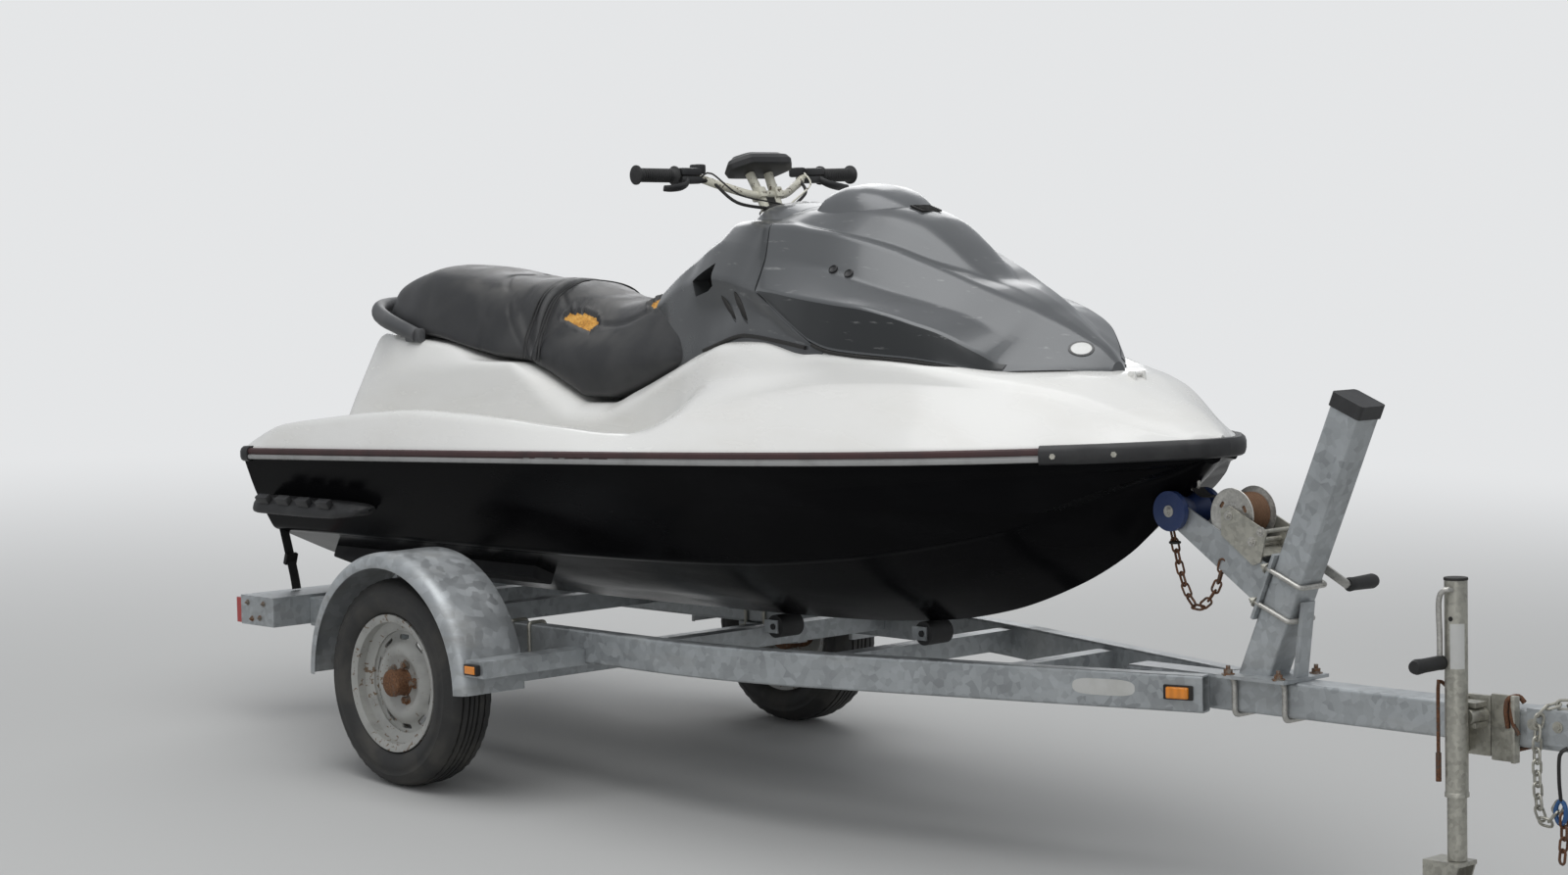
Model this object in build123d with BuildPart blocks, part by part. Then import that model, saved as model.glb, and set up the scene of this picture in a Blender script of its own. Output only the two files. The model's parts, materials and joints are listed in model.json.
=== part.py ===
from build123d import *
from math import cos, radians, sin, tan
import os

os.makedirs("parts", exist_ok=True)

# A personal watercraft on its single-axle road trailer, in millimetres.
# Everything is drawn with the trailer level: x = 0 at the axle, +X to the bow,
# +Y to port and z = 0 where the tyres stand. write() then parks the outfit nose up.

# Wheels and axle
tyre_radius = 273.5
tyre_width = 155
track = 1398
flange_radius = 181
rim_width = 128
hub_radius = 62
axle_tube = 60
axle_tube_x = 150
arm_y = 530
arm_width = 36

# Frame
frame_top = 412
beam_height = 85
beam_width = 45
beam_outer_y = 445
beam_rear_x = -830
bend_x = 950
bend_radius = 1800
tongue_join_x = 2150
tongue_size = 80
tongue_rear_x = 1900
tongue_front_x = 3330
tube_wall = 4
nose_up = 3.0

# Fenders and lamps
fender_radius = 345
fender_width = 205
fender_outer_y = 795
fender_sheet = 3
fender_lip = 38
lamp_board_depth = 165
lamp_board_half = 570
lens_depth = 30

# Winch post and its fittings
post_size = 80
post_base_x = 2266
post_length = 672
post_lean = 23
roller_x = 2052
roller_z = 778.5
roller_radius = 46
drum_x = 2212
drum_z = 776
drum_radius = 61

# Jack
jack_x = 2865
jack_y = -130
jack_tube_radius = 24
jack_inner_radius = 20.5
jack_tube_top = 686
jack_tube_bottom = 232
jockey_radius = 95
jockey_width = 45
jack_travel_up = 120
jack_travel_down = 80
fork_trail = 45

# Coupler
coupler_nose_x = 3450
ball_diameter = 50.8
ball_clearance = 0.4

# Hull and deck
stern_x = -1040
bow_x = 2160
stern_rail_z = 823
sheer_angle = 1.81
rail_height = 32
rail_depth = 13
seam_gap = 0.5
pump_x = -560
pump_z = 520
pump_radius = 78
tunnel_gap = 10
engine_length = 620
engine_width = 360
engine_height = 340
engine_x = 60
engine_z = 740

# Bodywork over the deck
hood_wall = 5
hood_gap = 5
hood_hinge_x = 1906
hood_hinge_z = 1086
bin_length = 420
bin_width = 340
bin_floor_z = 800
steer_x = 690
steer_z = 1470
steer_lean = 25
bar_radius = 11
bar_half = 385
bar_rise = 66
bar_back = 78
bar_up = 53
grip_radius = 17
grip_length = 118
seat_gap = 0.4

beam_bottom = frame_top - beam_height
beam_y = beam_outer_y - beam_width / 2
tongue_z = frame_top - tongue_size / 2
wheel_y = track / 2
axle_z = tyre_radius
jockey_x = jack_x - fork_trail
jockey_z = axle_z + (jockey_radius - axle_z - jockey_x * sin(radians(nose_up))) / cos(radians(nose_up))
bumper_depth = rail_depth + 5


def parked_x(x, z):
    """Where a point of the level trailer stands fore and aft once the nose is up."""
    return x * cos(radians(nose_up)) - (z - axle_z) * sin(radians(nose_up))


tail_end = parked_x(stern_x - bumper_depth + 8, stern_rail_z + rail_height / 2 + 6)
nose_end = parked_x(coupler_nose_x, tongue_z - 28)
x_shift = -(tail_end + nose_end) / 2
parked = Pos(x_shift, 0, axle_z) * Rot(0, -nose_up, 0) * Pos(0, 0, -axle_z)


def write(piece, name):
    """Park one finished piece with the rest and write its file."""
    placed = piece.part.moved(parked)
    placed.label = name
    export_step(placed, f"parts/{name}.step")


def sheer(x):
    """Height of the rail's underside along the craft."""
    return stern_rail_z - rail_height / 2 + (x - stern_x) * tan(radians(sheer_angle))


def section(x, half):
    """A closed cross-section at x from the points of its port half."""
    starboard = [(-y, z) for y, z in reversed(half) if y > 0]
    with BuildSketch(Plane.YZ.offset(x)) as outline:
        with BuildLine():
            Polyline(*half, *starboard, close=True)
        make_face()
    return outline.sketch.face()


def slab(profile, y0, y1):
    """A prism of a side-view outline between two distances from the centreline."""
    with BuildPart() as prism:
        with BuildSketch(Plane.XZ.offset(-y1)):
            with BuildLine():
                Polyline(*profile, close=True)
            make_face()
        extrude(amount=y1 - y0)
    return prism.part


def arch(x, half_width, base_z, top_z):
    """A cross-section at x with a level base and a round top."""
    with BuildSketch(Plane.YZ.offset(x)) as outline:
        with BuildLine():
            ThreePointArc((half_width, base_z), (0, top_z), (-half_width, base_z))
            Line((-half_width, base_z), (half_width, base_z))
        make_face()
    return outline.sketch.face()


# Hull
hull_columns = [
    # x, half beam, keel z, chine y, chine z
    (stern_x + 8, 520, 432, 425, 598),
    (-650, 538, 431, 434, 601),
    (-200, 550, 430, 441, 605),
    (300, 559, 431, 445, 608),
    (700, 559, 435, 440, 614),
    (1000, 551, 442, 424, 624),
    (1290, 525, 464, 385, 650),
    (1500, 487, 503, 338, 682),
    (1720, 415, 580, 266, 730),
    (1880, 330, 666, 190, 785),
    (2000, 240, 766, 122, 838),
    (2065, 172, 824, 76, 864),
    (bow_x - 35, 92, 884, 30, 898),
]
strake_width = 26
strake_drop = 8
tunnel_radius = pump_radius + tunnel_gap
bay_gap = 12
seat_slack = 0.3


def strake(chine_y):
    return strake_width * chine_y / 445


def hull_section(x, beam, keel_z, chine_y, chine_z):
    top = sheer(x)
    return section(x, [(0, keel_z), (chine_y - strake(chine_y), chine_z - strake_drop), (chine_y, chine_z),
                       (beam - 6, top - 18), (beam, top)])


def hull_bottom(x, y):
    """Height of the hull's bottom at a place between two of its stations."""
    ends = next(pair for pair in zip(hull_columns, hull_columns[1:]) if pair[0][0] <= x <= pair[1][0])
    heights = [keel_z + (chine_z - strake_drop - keel_z) * y / (chine_y - strake(chine_y))
               for _, _, keel_z, chine_y, chine_z in ends]
    share = (x - ends[0][0]) / (ends[1][0] - ends[0][0])
    return heights[0] + (heights[1] - heights[0]) * share


footwell = {"rear": -930, "front": 690, "inner": 305, "outer": 455, "floor": 812, "radius": 40}
well_draft = 18
well_top = 1030
bin_x = 1400
bin_height = 400
bin_radius = 60
liner_sheet = 6


def footwell_outline(z, inset):
    length = footwell["front"] - footwell["rear"] - 2 * inset
    width = footwell["outer"] - footwell["inner"] - 2 * inset
    middle = (footwell["front"] + footwell["rear"]) / 2
    with BuildSketch(Plane.XY.offset(z)) as outline:
        with Locations((middle, (footwell["outer"] + footwell["inner"]) / 2)):
            RectangleRounded(length, width, footwell["radius"])
    return outline.sketch.face()


def recesses(grow):
    """The two footwells and the storage bin, as solids grown all round."""
    with BuildPart() as hollows:
        loft(sections=[footwell_outline(footwell["floor"] - grow, well_draft - 6 - grow),
                       footwell_outline(well_top, -6 - grow)])
        mirror(about=Plane.XZ)
        with BuildSketch(Plane.XY.offset(bin_floor_z - grow)):
            with Locations((bin_x, 0)):
                RectangleRounded(bin_length + 2 * grow, bin_width + 2 * grow, bin_radius + grow)
        extrude(amount=bin_height)
    return hollows.part


below_seam = [(stern_x, 700), (bow_x, 700), (bow_x, sheer(bow_x) + 1), (stern_x, sheer(stern_x) + 1)]

with BuildPart() as liners:
    add(recesses(liner_sheet))
    add(slab(below_seam, -600, 600), mode=Mode.INTERSECT)

with BuildPart() as engine:
    with Locations((engine_x, 0, engine_z)):
        Box(engine_length, engine_width, engine_height)
    fillet(engine.edges().filter_by(Axis.X), radius=30)

with BuildPart() as engine_bay:
    with Locations((engine_x, 0, engine_z)):
        Box(engine_length + 2 * bay_gap, engine_width + 2 * bay_gap, engine_height + 2 * seat_slack)

with BuildPart() as hull:
    loft(sections=[hull_section(*row) for row in hull_columns], ruled=True)
    with BuildSketch(Plane.YZ.offset(stern_x - 20)):
        with Locations((0, pump_z)):
            Circle(tunnel_radius)
        with Locations((0, pump_z - 100)):
            Rectangle(2 * tunnel_radius, 200)
    extrude(amount=pump_x - stern_x + 20, mode=Mode.SUBTRACT)
    add(engine_bay.part, mode=Mode.SUBTRACT)
    add(recesses(liner_sheet + seam_gap), mode=Mode.SUBTRACT)
write(hull, "hull")

# Deck
deck_columns = [
    # crest y, crest z, ridge y, ridge z, centre z, at each of the hull's stations
    (484, 872, 300, 878, 880),
    (492, 938, 300, 942, 944),
    (500, 970, 300, 972, 974),
    (503, 948, 300, 950, 952),
    (488, 940, 300, 1010, 1020),
    (455, 1012, 335, 1112, 1120),
    (412, 1060, 368, 1136, 1146),
    (366, 1068, 322, 1102, 1112),
    (290, 1062, 238, 1078, 1084),
    (215, 1038, 120, 1062, 1066),
    (150, 995, 70, 1004, 1006),
    (104, 968, 45, 974, 975),
    (50, 946, 22, 950, 951),
]
pedestal_columns = [
    # x, foot half width, edge half width, edge z, top half width, top z
    (-915, 205, 150, 960, 100, 975),
    (-850, 232, 165, 1150, 130, 1172),
    (-600, 262, 222, 1158, 190, 1190),
    (-200, 285, 241, 1100, 200, 1140),
    (200, 292, 248, 996, 200, 1040),
    (420, 295, 246, 1035, 200, 1080),
    (700, 310, 255, 1132, 190, 1136),
    (900, 330, 290, 1150, 230, 1155),
]


def deck_section(hull_row, crest_y, crest_z, ridge_y, ridge_z, centre_z):
    x, beam = hull_row[:2]
    bottom = sheer(x) + seam_gap
    return section(x, [(beam, bottom), (beam - 3, bottom + rail_height), (crest_y, crest_z), (ridge_y, ridge_z),
                       (0, centre_z)])


def pedestal_section(x, foot, edge, edge_z, top_half, top_z):
    return section(x, [(foot, sheer(x) + 5), (edge, edge_z), (top_half, top_z)])


seat_line = [(-960, 1215), (-820, 1168), (-501, 1150), (-220, 1098), (-67, 1090), (37, 1052), (181, 992),
             (290, 992), (404, 1024)]
console_line = [(385, 1305), (690, 1133)]
seat_crown = 1420


def seat_region(gap):
    """Everything above the pedestal and behind the console, less a gap."""
    low = [(x, z + gap) for x, z in seat_line]
    front = [(x - 2 * gap, z + gap) for x, z in reversed(console_line)]
    return slab(low + front + [(300, seat_crown), (-960, seat_crown)], -320, 320)


with BuildPart() as seat_space:
    add(seat_region(0))

with BuildPart() as deck:
    loft(sections=[deck_section(low, *row) for low, row in zip(hull_columns, deck_columns)], ruled=True)
    add(liners.part)
    loft(sections=[pedestal_section(*row) for row in pedestal_columns], ruled=True)
    add(recesses(0), mode=Mode.SUBTRACT)
    add(engine_bay.part, mode=Mode.SUBTRACT)
    add(seat_space.part, mode=Mode.SUBTRACT)

# Seats, split from the pedestal and the console by side-view lines
seat_split_x = -108

rear_seat_columns = [
    # x, edge half width, shoulder half width, shoulder z, top z
    (-880, 105, 80, 1262, 1280),
    (-800, 168, 125, 1288, 1315),
    (-610, 218, 162, 1318, 1357),
    (-338, 240, 172, 1290, 1331),
    (seat_split_x - seat_gap, 242, 170, 1268, 1314),
]
front_seat_columns = [
    (seat_split_x + seat_gap, 243, 172, 1268, 1319),
    (30, 246, 160, 1232, 1284),
    (172, 248, 150, 1208, 1263),
    (335, 246, 150, 1232, 1287),
    (480, 244, 150, 1260, 1320),
    (690, 250, 160, 1300, 1360),
]


def seat_section(x, edge, shoulder, shoulder_z, top_z):
    return section(x, [(edge, 940), (edge + 4, 1110), (shoulder, shoulder_z), (shoulder * 0.55, top_z - 6),
                       (0, top_z)])


with BuildPart() as seat_rear:
    loft(sections=[seat_section(*row) for row in rear_seat_columns], ruled=True)
    add(seat_region(seat_gap), mode=Mode.INTERSECT)
write(seat_rear, "seat_rear")

with BuildPart() as seat_front:
    loft(sections=[seat_section(*row) for row in front_seat_columns], ruled=True)
    add(seat_region(seat_gap), mode=Mode.INTERSECT)
write(seat_front, "seat_front")

# Console and dash behind the hood
hood_line = [(872, 1560), (905, 1445), (935, 1362), (955, 1286), (1262, 1144)]
console_columns = [
    # x, base half width, waist half width, waist z, top half width, top z
    (330, 170, 120, 1240, 60, 1275),
    (500, 215, 150, 1275, 75, 1362),
    (630, 245, 178, 1320, 85, 1436),
    (740, 275, 215, 1340, 95, 1488),
    (860, 312, 256, 1345, 105, 1480),
    (1000, 345, 285, 1330, 110, 1455),
    (1240, 372, 320, 1230, 110, 1300),
]


def console_section(x, base, waist, waist_z, top_half, top_z):
    return section(x, [(base, 1090), (base, 1135), (waist, waist_z), (top_half, top_z - 8), (0, top_z)])


def side_offset(line, shift):
    return [(x + shift, z) for x, z in line]


stem_hole = Location((steer_x, 0, steer_z), (0, -steer_lean, 0))
stem_radius = 19
stem_clearance = 0.4

with BuildPart() as console:
    loft(sections=[console_section(*row) for row in console_columns], ruled=True)
    add(slab(side_offset(hood_line, -hood_gap) + [(1500, 1080), (1500, 1560)], -450, 450), mode=Mode.SUBTRACT)
    add(seat_space.part, mode=Mode.SUBTRACT)
    add(deck.part, mode=Mode.SUBTRACT)
    with Locations(stem_hole):
        Cylinder(stem_radius + stem_clearance, 260, mode=Mode.SUBTRACT)
write(console, "console")
write(deck, "deck")
write(engine, "engine")

# Hood, which swings up about its tip over the storage bin
hood_columns = [
    # x, edge half width, edge z, crease half width, crease z, groove half width, groove z, top z
    (868, 290, 1285, 268, 1345, 200, 1400, 1482),
    (960, 318, 1280, 300, 1330, 205, 1372, 1492),
    (1110, 360, 1212, 345, 1288, 225, 1345, 1478),
    (1262, 392, 1152, 370, 1245, 228, 1298, 1440),
    (1360, 388, 1134, 345, 1212, 215, 1262, 1378),
    (1520, 328, 1108, 285, 1172, 180, 1213, 1296),
    (1700, 255, 1098, 210, 1125, 115, 1158, 1208),
    (1830, 150, 1096, 110, 1108, 55, 1122, 1132),
    (1898, 60, 1090, 44, 1098, 22, 1102, 1106),
]


def hood_section(x, edge, edge_z, crease, crease_z, groove, groove_z, top_z, skin):
    low = edge_z - skin
    return section(x, [(edge - skin, low), (crease - skin, crease_z - skin), (groove, groove_z - skin),
                       (groove * 0.55, (groove_z + 2 * top_z) / 3 - skin), (0, top_z - skin)])


knuckle_half = 14
hinge_pin_radius = 5
pin_gap = 0.4
ear_sheet = 5

with BuildPart() as hood_block:
    loft(sections=[hood_section(*row, 0) for row in hood_columns], ruled=True)

with BuildPart() as hood:
    add(hood_block.part)
    loft(sections=[hood_section(*row, hood_wall) for row in hood_columns], ruled=True, mode=Mode.SUBTRACT)
    add(slab(hood_line + [(1262, 1000), (700, 1000), (700, 1600)], -450, 450), mode=Mode.SUBTRACT)
    add(slab([(hood_hinge_x - 32, hood_hinge_z + 7), (hood_hinge_x - 32, hood_hinge_z + 19),
              (hood_hinge_x - 4, hood_hinge_z + 15), (hood_hinge_x + 8, hood_hinge_z + 8),
              (hood_hinge_x + 8, hood_hinge_z - 7), (hood_hinge_x - 8, hood_hinge_z - 8)],
             -knuckle_half, knuckle_half))
    with Locations((hood_hinge_x, 0, hood_hinge_z)):
        Cylinder(hinge_pin_radius + pin_gap, 2 * knuckle_half, rotation=(90, 0, 0), mode=Mode.SUBTRACT)
write(hood, "hood")

# The hood's hinge on the deck, under its tip
with BuildPart() as hood_hinge:
    for side in (1, -1):
        ear = sorted((side * (knuckle_half + 1), side * (knuckle_half + 1 + ear_sheet)))
        add(slab([(hood_hinge_x - 18, hood_hinge_z - 45), (hood_hinge_x + 18, hood_hinge_z - 50),
                  (hood_hinge_x + 9, hood_hinge_z + 6), (hood_hinge_x - 9, hood_hinge_z + 6)], *ear))
    with Locations((hood_hinge_x, 0, hood_hinge_z)):
        Cylinder(hinge_pin_radius, 2 * (knuckle_half + ear_sheet + 2), rotation=(90, 0, 0))
    add(deck.part, mode=Mode.SUBTRACT)
write(hood_hinge, "hood_hinge")

# Gauge dome on the hood's rear edge
dome_columns = [
    # x, half width, base z, top z
    (905, 105, 1470, 1490),
    (950, 130, 1474, 1522),
    (1040, 138, 1478, 1548),
    (1120, 125, 1478, 1538),
    (1200, 80, 1474, 1490),
]
with BuildPart() as gauge_dome:
    loft(sections=[arch(*row) for row in dome_columns])
    add(hood_block.part, mode=Mode.SUBTRACT)
write(gauge_dome, "gauge_dome")

# Side panels under the hood's crease, held by the hood
panel_sheet = 3
panel_gap = 0.3
panel_low = 0.14
panel_high = 0.86
hood_lines = [row[:5] for row in hood_columns]


def panel_section(x, edge, edge_z, crease, crease_z):
    """The flank of the hood between its crease and its edge, as a thin plate."""
    low, high = [(edge + (crease - edge) * share, edge_z + (crease_z - edge_z) * share)
                 for share in (panel_low, panel_high)]
    with BuildSketch(Plane.YZ.offset(x)) as outline:
        with BuildLine():
            Polyline((low[0] + panel_gap, low[1]), (high[0] + panel_gap, high[1]),
                     (high[0] + panel_gap + panel_sheet, high[1]), (low[0] + panel_gap + panel_sheet, low[1]),
                     close=True)
        make_face()
    return outline.sketch.face()


with BuildPart() as hood_sides:
    loft(sections=[panel_section(*row) for row in hood_lines[:-1]], ruled=True)
    add(slab(side_offset(hood_line, 6) + [(1268, 1000), (700, 1000), (700, 1600)], -450, 450), mode=Mode.SUBTRACT)
    mirror(about=Plane.XZ)
write(hood_sides, "hood_sides")

# Rail, bumper and stern caps round the seam between hull and deck
bumper_x = 1900
cap_length = 42
rail_gap = 0.3


def rail_solid(thickness, half_height):
    """A skirt of the plan's outline, as high as the rail, that follows the sheer."""
    plan = [(row[0], row[1] + thickness) for row in hull_columns]
    nose = (bow_x + thickness, 0)
    with BuildPart() as skirt:
        with BuildSketch(Plane.XY.offset(500)):
            with BuildLine():
                Polyline((plan[0][0] - thickness, 0), (plan[0][0] - thickness, plan[0][1]), *plan, nose,
                         *[(x, -y) for x, y in reversed(plan)], (plan[0][0] - thickness, -plan[0][1]), close=True)
            make_face()
        extrude(amount=700)
        middle = [(x, sheer(x) + rail_height / 2 + half_height) for x in (stern_x - 60, bow_x + 60)]
        under = [(x, z - 2 * half_height) for x, z in reversed(middle)]
        add(slab(middle + under, -700, 700), mode=Mode.INTERSECT)
    return skirt.part


with BuildPart() as rail_ring:
    add(rail_solid(rail_depth, rail_height / 2))
    add(rail_solid(rail_gap, rail_height), mode=Mode.SUBTRACT)

with BuildPart() as rub_rail:
    add(rail_ring.part)
    with Locations((bumper_x + 500, 0, 900)):
        Box(1000, 1400, 400, mode=Mode.SUBTRACT)
    with Locations((stern_x - 60 + cap_length, 0, 800)):
        Box(120, 1400, 400, mode=Mode.SUBTRACT)
write(rub_rail, "rub_rail")

with BuildPart() as bumpers:
    add(rail_solid(bumper_depth, rail_height / 2 + 6))
    add(rail_solid(rail_gap, rail_height), mode=Mode.SUBTRACT)
    with Locations(((bumper_x + stern_x + cap_length) / 2, 0, 850)):
        Box(bumper_x - stern_x - cap_length + 2, 1400, 600, mode=Mode.SUBTRACT)
    with Locations((stern_x, 0, 850)):
        Box(120, 900, 600, mode=Mode.SUBTRACT)
write(bumpers, "bumpers")

# Grab handle behind the seat
with BuildPart() as grab_handle:
    with BuildSketch(Plane.XY.offset(1182)):
        with BuildLine():
            Polyline((-600, 225), (-760, 205), (-900, 130), (-925, 60), (-925, -60), (-900, -130), (-760, -205),
                     (-600, -225), (-600, -190), (-770, -170), (-868, -100), (-868, 100), (-770, 170), (-600, 190),
                     close=True)
        make_face()
    extrude(amount=60)
    add(slab(side_offset([(-960, 1260), (-560, 1175), (-560, 1400), (-960, 1400)], 0), -300, 300),
        mode=Mode.SUBTRACT)
    add(seat_rear.part, mode=Mode.SUBTRACT)
write(grab_handle, "grab_handle")

# Sponsons on the hull's sides
sponson_x = -695
sponson_length = 520
sponson_y = 563
sponson_depth = 126
with BuildPart() as sponsons:
    with Locations((sponson_x, sponson_y, 682)):
        Box(sponson_length, sponson_depth, 48, align=(Align.CENTER, Align.MAX, Align.CENTER))
    fillet(sponsons.edges().filter_by(Axis.Z), radius=30)
    add(hull.part, mode=Mode.SUBTRACT)
    mirror(about=Plane.XZ)
write(sponsons, "sponsons")

# Jet pump in its tunnel, the plate under it and the grating in front
nozzle_x = -925
nozzle_radius = 52
nozzle_pivot_x = nozzle_x - 6
nozzle_pin = 3.5
nozzle_ear = 6
with BuildPart() as pump_housing:
    with BuildSketch(Plane.XZ):
        with BuildLine():
            Polyline((pump_x - 0.3, pump_z), (pump_x - 0.3, pump_z + pump_radius), (-760, pump_z + pump_radius),
                     (nozzle_x + 12, pump_z + nozzle_radius - 22), (nozzle_x + 12, pump_z), close=True)
        make_face()
    revolve(axis=Axis((0, 0, pump_z), (1, 0, 0)))
    for side in (1, -1):
        with Locations((nozzle_pivot_x + 48, 0, pump_z + side * (nozzle_radius + seat_slack + nozzle_ear / 2))):
            Box(120, 24, nozzle_ear)
        with Locations((nozzle_pivot_x, 0, pump_z + side * (nozzle_radius - 2))):
            Cylinder(nozzle_pin, 10)
write(pump_housing, "pump_housing")

with BuildPart() as steer_nozzle:
    with BuildSketch(Plane.XZ):
        with BuildLine():
            Polyline((nozzle_x, pump_z + nozzle_radius - 10), (nozzle_x, pump_z + nozzle_radius),
                     (nozzle_x - 14, pump_z + nozzle_radius), (stern_x + 12, pump_z + nozzle_radius - 8), (stern_x + 12, pump_z + nozzle_radius - 16),
                     close=True)
        make_face()
    revolve(axis=Axis((0, 0, pump_z), (1, 0, 0)))
    with Locations((nozzle_pivot_x, 0, pump_z)):
        Cylinder(nozzle_pin + pin_gap, 2 * nozzle_radius + 20, mode=Mode.SUBTRACT)
write(steer_nozzle, "steer_nozzle")

plate_sheet = 8
plate_bottom = 432
plate_side = 48
plate_front_x = -570
plate_length = 440
with BuildPart() as ride_plate:
    with BuildSketch(Plane.YZ.offset(plate_front_x - plate_length)):
        with Locations((0, plate_bottom)):
            Rectangle(2 * (tunnel_radius - seat_slack), plate_side, align=(Align.CENTER, Align.MIN))
        with Locations((0, plate_bottom + plate_sheet)):
            Rectangle(2 * (tunnel_radius - seat_slack - plate_sheet), plate_side, align=(Align.CENTER, Align.MIN),
                      mode=Mode.SUBTRACT)
    extrude(amount=plate_length)
write(ride_plate, "ride_plate")

# Steering: bar, grips, switch blocks and pad turn on the stem
steer_axis = Axis((steer_x, 0, steer_z), (-sin(radians(steer_lean)), 0, cos(radians(steer_lean))))
bar_middle_x = steer_x - bar_rise * sin(radians(steer_lean))
bar_middle_z = steer_z + bar_rise * cos(radians(steer_lean))
bar_x = bar_middle_x - bar_back
bar_z = bar_middle_z + bar_up
bar_route = [(bar_x, -bar_half, bar_z), (bar_x + 12, -215, bar_z - 3), (bar_middle_x, -60, bar_middle_z),
             (bar_middle_x, 60, bar_middle_z), (bar_x + 12, 215, bar_z - 3), (bar_x, bar_half, bar_z)]
stem_length = 150
riser_radius = 13
riser_length = 100
riser_spread = 28
with BuildPart() as handlebar:
    with BuildLine():
        FilletPolyline(*bar_route, radius=40)
    with BuildSketch(Plane(origin=bar_route[0], z_dir=Vector(*bar_route[1]) - Vector(*bar_route[0]))):
        Circle(bar_radius)
    sweep()
    with Locations(stem_hole):
        with Locations((0, 0, bar_rise - stem_length / 2)):
            Cylinder(stem_radius, stem_length)
        with Locations((0, riser_spread, bar_rise + 18), (0, -riser_spread, bar_rise + 18)):
            Cylinder(riser_radius, riser_length)
write(handlebar, "handlebar")

with BuildPart() as bar_pad:
    with Locations(stem_hole):
        with BuildSketch(Plane(stem_hole).offset(bar_rise + 18 + riser_length / 2 + seat_slack)):
            RectangleRounded(85, 190, 30)
    extrude(amount=42, taper=14)
write(bar_pad, "bar_pad")

with BuildPart() as grips:
    for side in (1, -1):
        grip_plane = Plane(origin=(bar_x, side * bar_half, bar_z),
                           z_dir=Vector(bar_x + 12, side * 215, bar_z - 3) - Vector(bar_x, side * bar_half, bar_z))
        with BuildSketch(grip_plane):
            Circle(grip_radius)
            Circle(bar_radius, mode=Mode.SUBTRACT)
        extrude(amount=grip_length)
write(grips, "grips")

switch_length = 40
with BuildPart() as switches:
    for side in (1, -1):
        grip_plane = Plane(origin=(bar_x, side * bar_half, bar_z), x_dir=(1, 0, 0),
                           z_dir=Vector(bar_x + 12, side * 215, bar_z - 3) - Vector(bar_x, side * bar_half, bar_z))
        with BuildSketch(grip_plane.offset(grip_length + 1)):
            RectangleRounded(52, 42, 12)
        extrude(amount=switch_length)
        with BuildSketch(grip_plane.offset(grip_length + 1)):
            Circle(bar_radius + 0.3)
        extrude(amount=switch_length, mode=Mode.SUBTRACT)
write(switches, "switches")

# Axle, with trailing arms from the tube back to the wheel spindles
spindle_radius = 14
hub_gap = 0.5
with BuildPart() as axle:
    with Locations((axle_tube_x, 0, beam_bottom - 6 - axle_tube / 2)):
        Box(axle_tube, 2 * arm_y, axle_tube)
    with Locations((axle_tube_x, beam_y, beam_bottom - 3), (axle_tube_x, -beam_y, beam_bottom - 3)):
        Box(130, 60, 6)
    arm_outline = [(axle_tube_x + 34, beam_bottom - 70), (axle_tube_x + 34, beam_bottom - 2),
                   (axle_tube_x - 34, beam_bottom - 2), (-30, axle_z + 30), (-30, axle_z - 30), (20, axle_z - 34)]
    for side in (1, -1):
        add(slab(arm_outline, *sorted((side * arm_y, side * (arm_y + arm_width)))))
        with Locations((0, side * (arm_y + wheel_y) / 2, axle_z)):
            Cylinder(spindle_radius, wheel_y - arm_y + 40, rotation=(90, 0, 0))
write(axle, "axle")

# Wheels
bead_radius = flange_radius - 15
well_radius = 140
disc_y = 20


def wheel_profile(points, side):
    """Turn a profile of (radius, outward distance from the wheel's middle) round the axle line."""
    with BuildPart() as turned:
        with BuildSketch(Plane.YZ):
            with BuildLine():
                Polyline(*[(side * (wheel_y + out), axle_z + radius) for radius, out in points], close=True)
            make_face()
        revolve(axis=Axis((0, 0, axle_z), (0, 1, 0)))
    return turned.part


half_tyre = tyre_width / 2
half_rim = rim_width / 2
sheet = 5
bead_gap = 0.4
tyre_profile = [(bead_radius + bead_gap, half_rim - 11), (flange_radius + 1, half_rim - 9),
                (flange_radius + 16, half_tyre - 5), (flange_radius + 42, half_tyre), (tyre_radius - 22, half_tyre - 7),
                (tyre_radius - 7, half_tyre - 18), (tyre_radius, half_tyre - 40), (tyre_radius, 40 - half_tyre),
                (tyre_radius - 7, 18 - half_tyre), (tyre_radius - 22, 7 - half_tyre), (flange_radius + 42, -half_tyre),
                (flange_radius + 16, 5 - half_tyre), (flange_radius + 1, 9 - half_rim),
                (bead_radius + bead_gap, 11 - half_rim)]
rim_profile = [(flange_radius, half_rim), (flange_radius, half_rim - 7), (bead_radius, half_rim - 10),
               (bead_radius, 30), (well_radius, 20), (well_radius, -16), (bead_radius, -28),
               (bead_radius, 10 - half_rim), (flange_radius, 7 - half_rim), (flange_radius, -half_rim),
               (flange_radius - sheet, -half_rim), (bead_radius - sheet, 6 - half_rim), (bead_radius - sheet, -31),
               (well_radius - sheet, -19), (well_radius - sheet, disc_y - 8), (108, disc_y - 3), (88, disc_y + 12),
               (72, disc_y + 10), (60, disc_y), (38, disc_y), (38, disc_y + sheet), (58, disc_y + sheet),
               (70, disc_y + 15), (89, disc_y + 17), (110, disc_y + 2), (well_radius - sheet, disc_y - 3),
               (well_radius - sheet, 23), (bead_radius - sheet, 33), (bead_radius - sheet, half_rim - 6),
               (flange_radius - sheet, half_rim)]
hub_profile = [(spindle_radius + hub_gap, -62), (hub_radius, -62), (hub_radius, -20), (45, -20), (45, 8), (62, 8),
               (62, disc_y - bead_gap), (36, disc_y - bead_gap), (36, 56), (33, 72), (0, 72), (0, 44),
               (spindle_radius + hub_gap, 44)]
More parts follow.
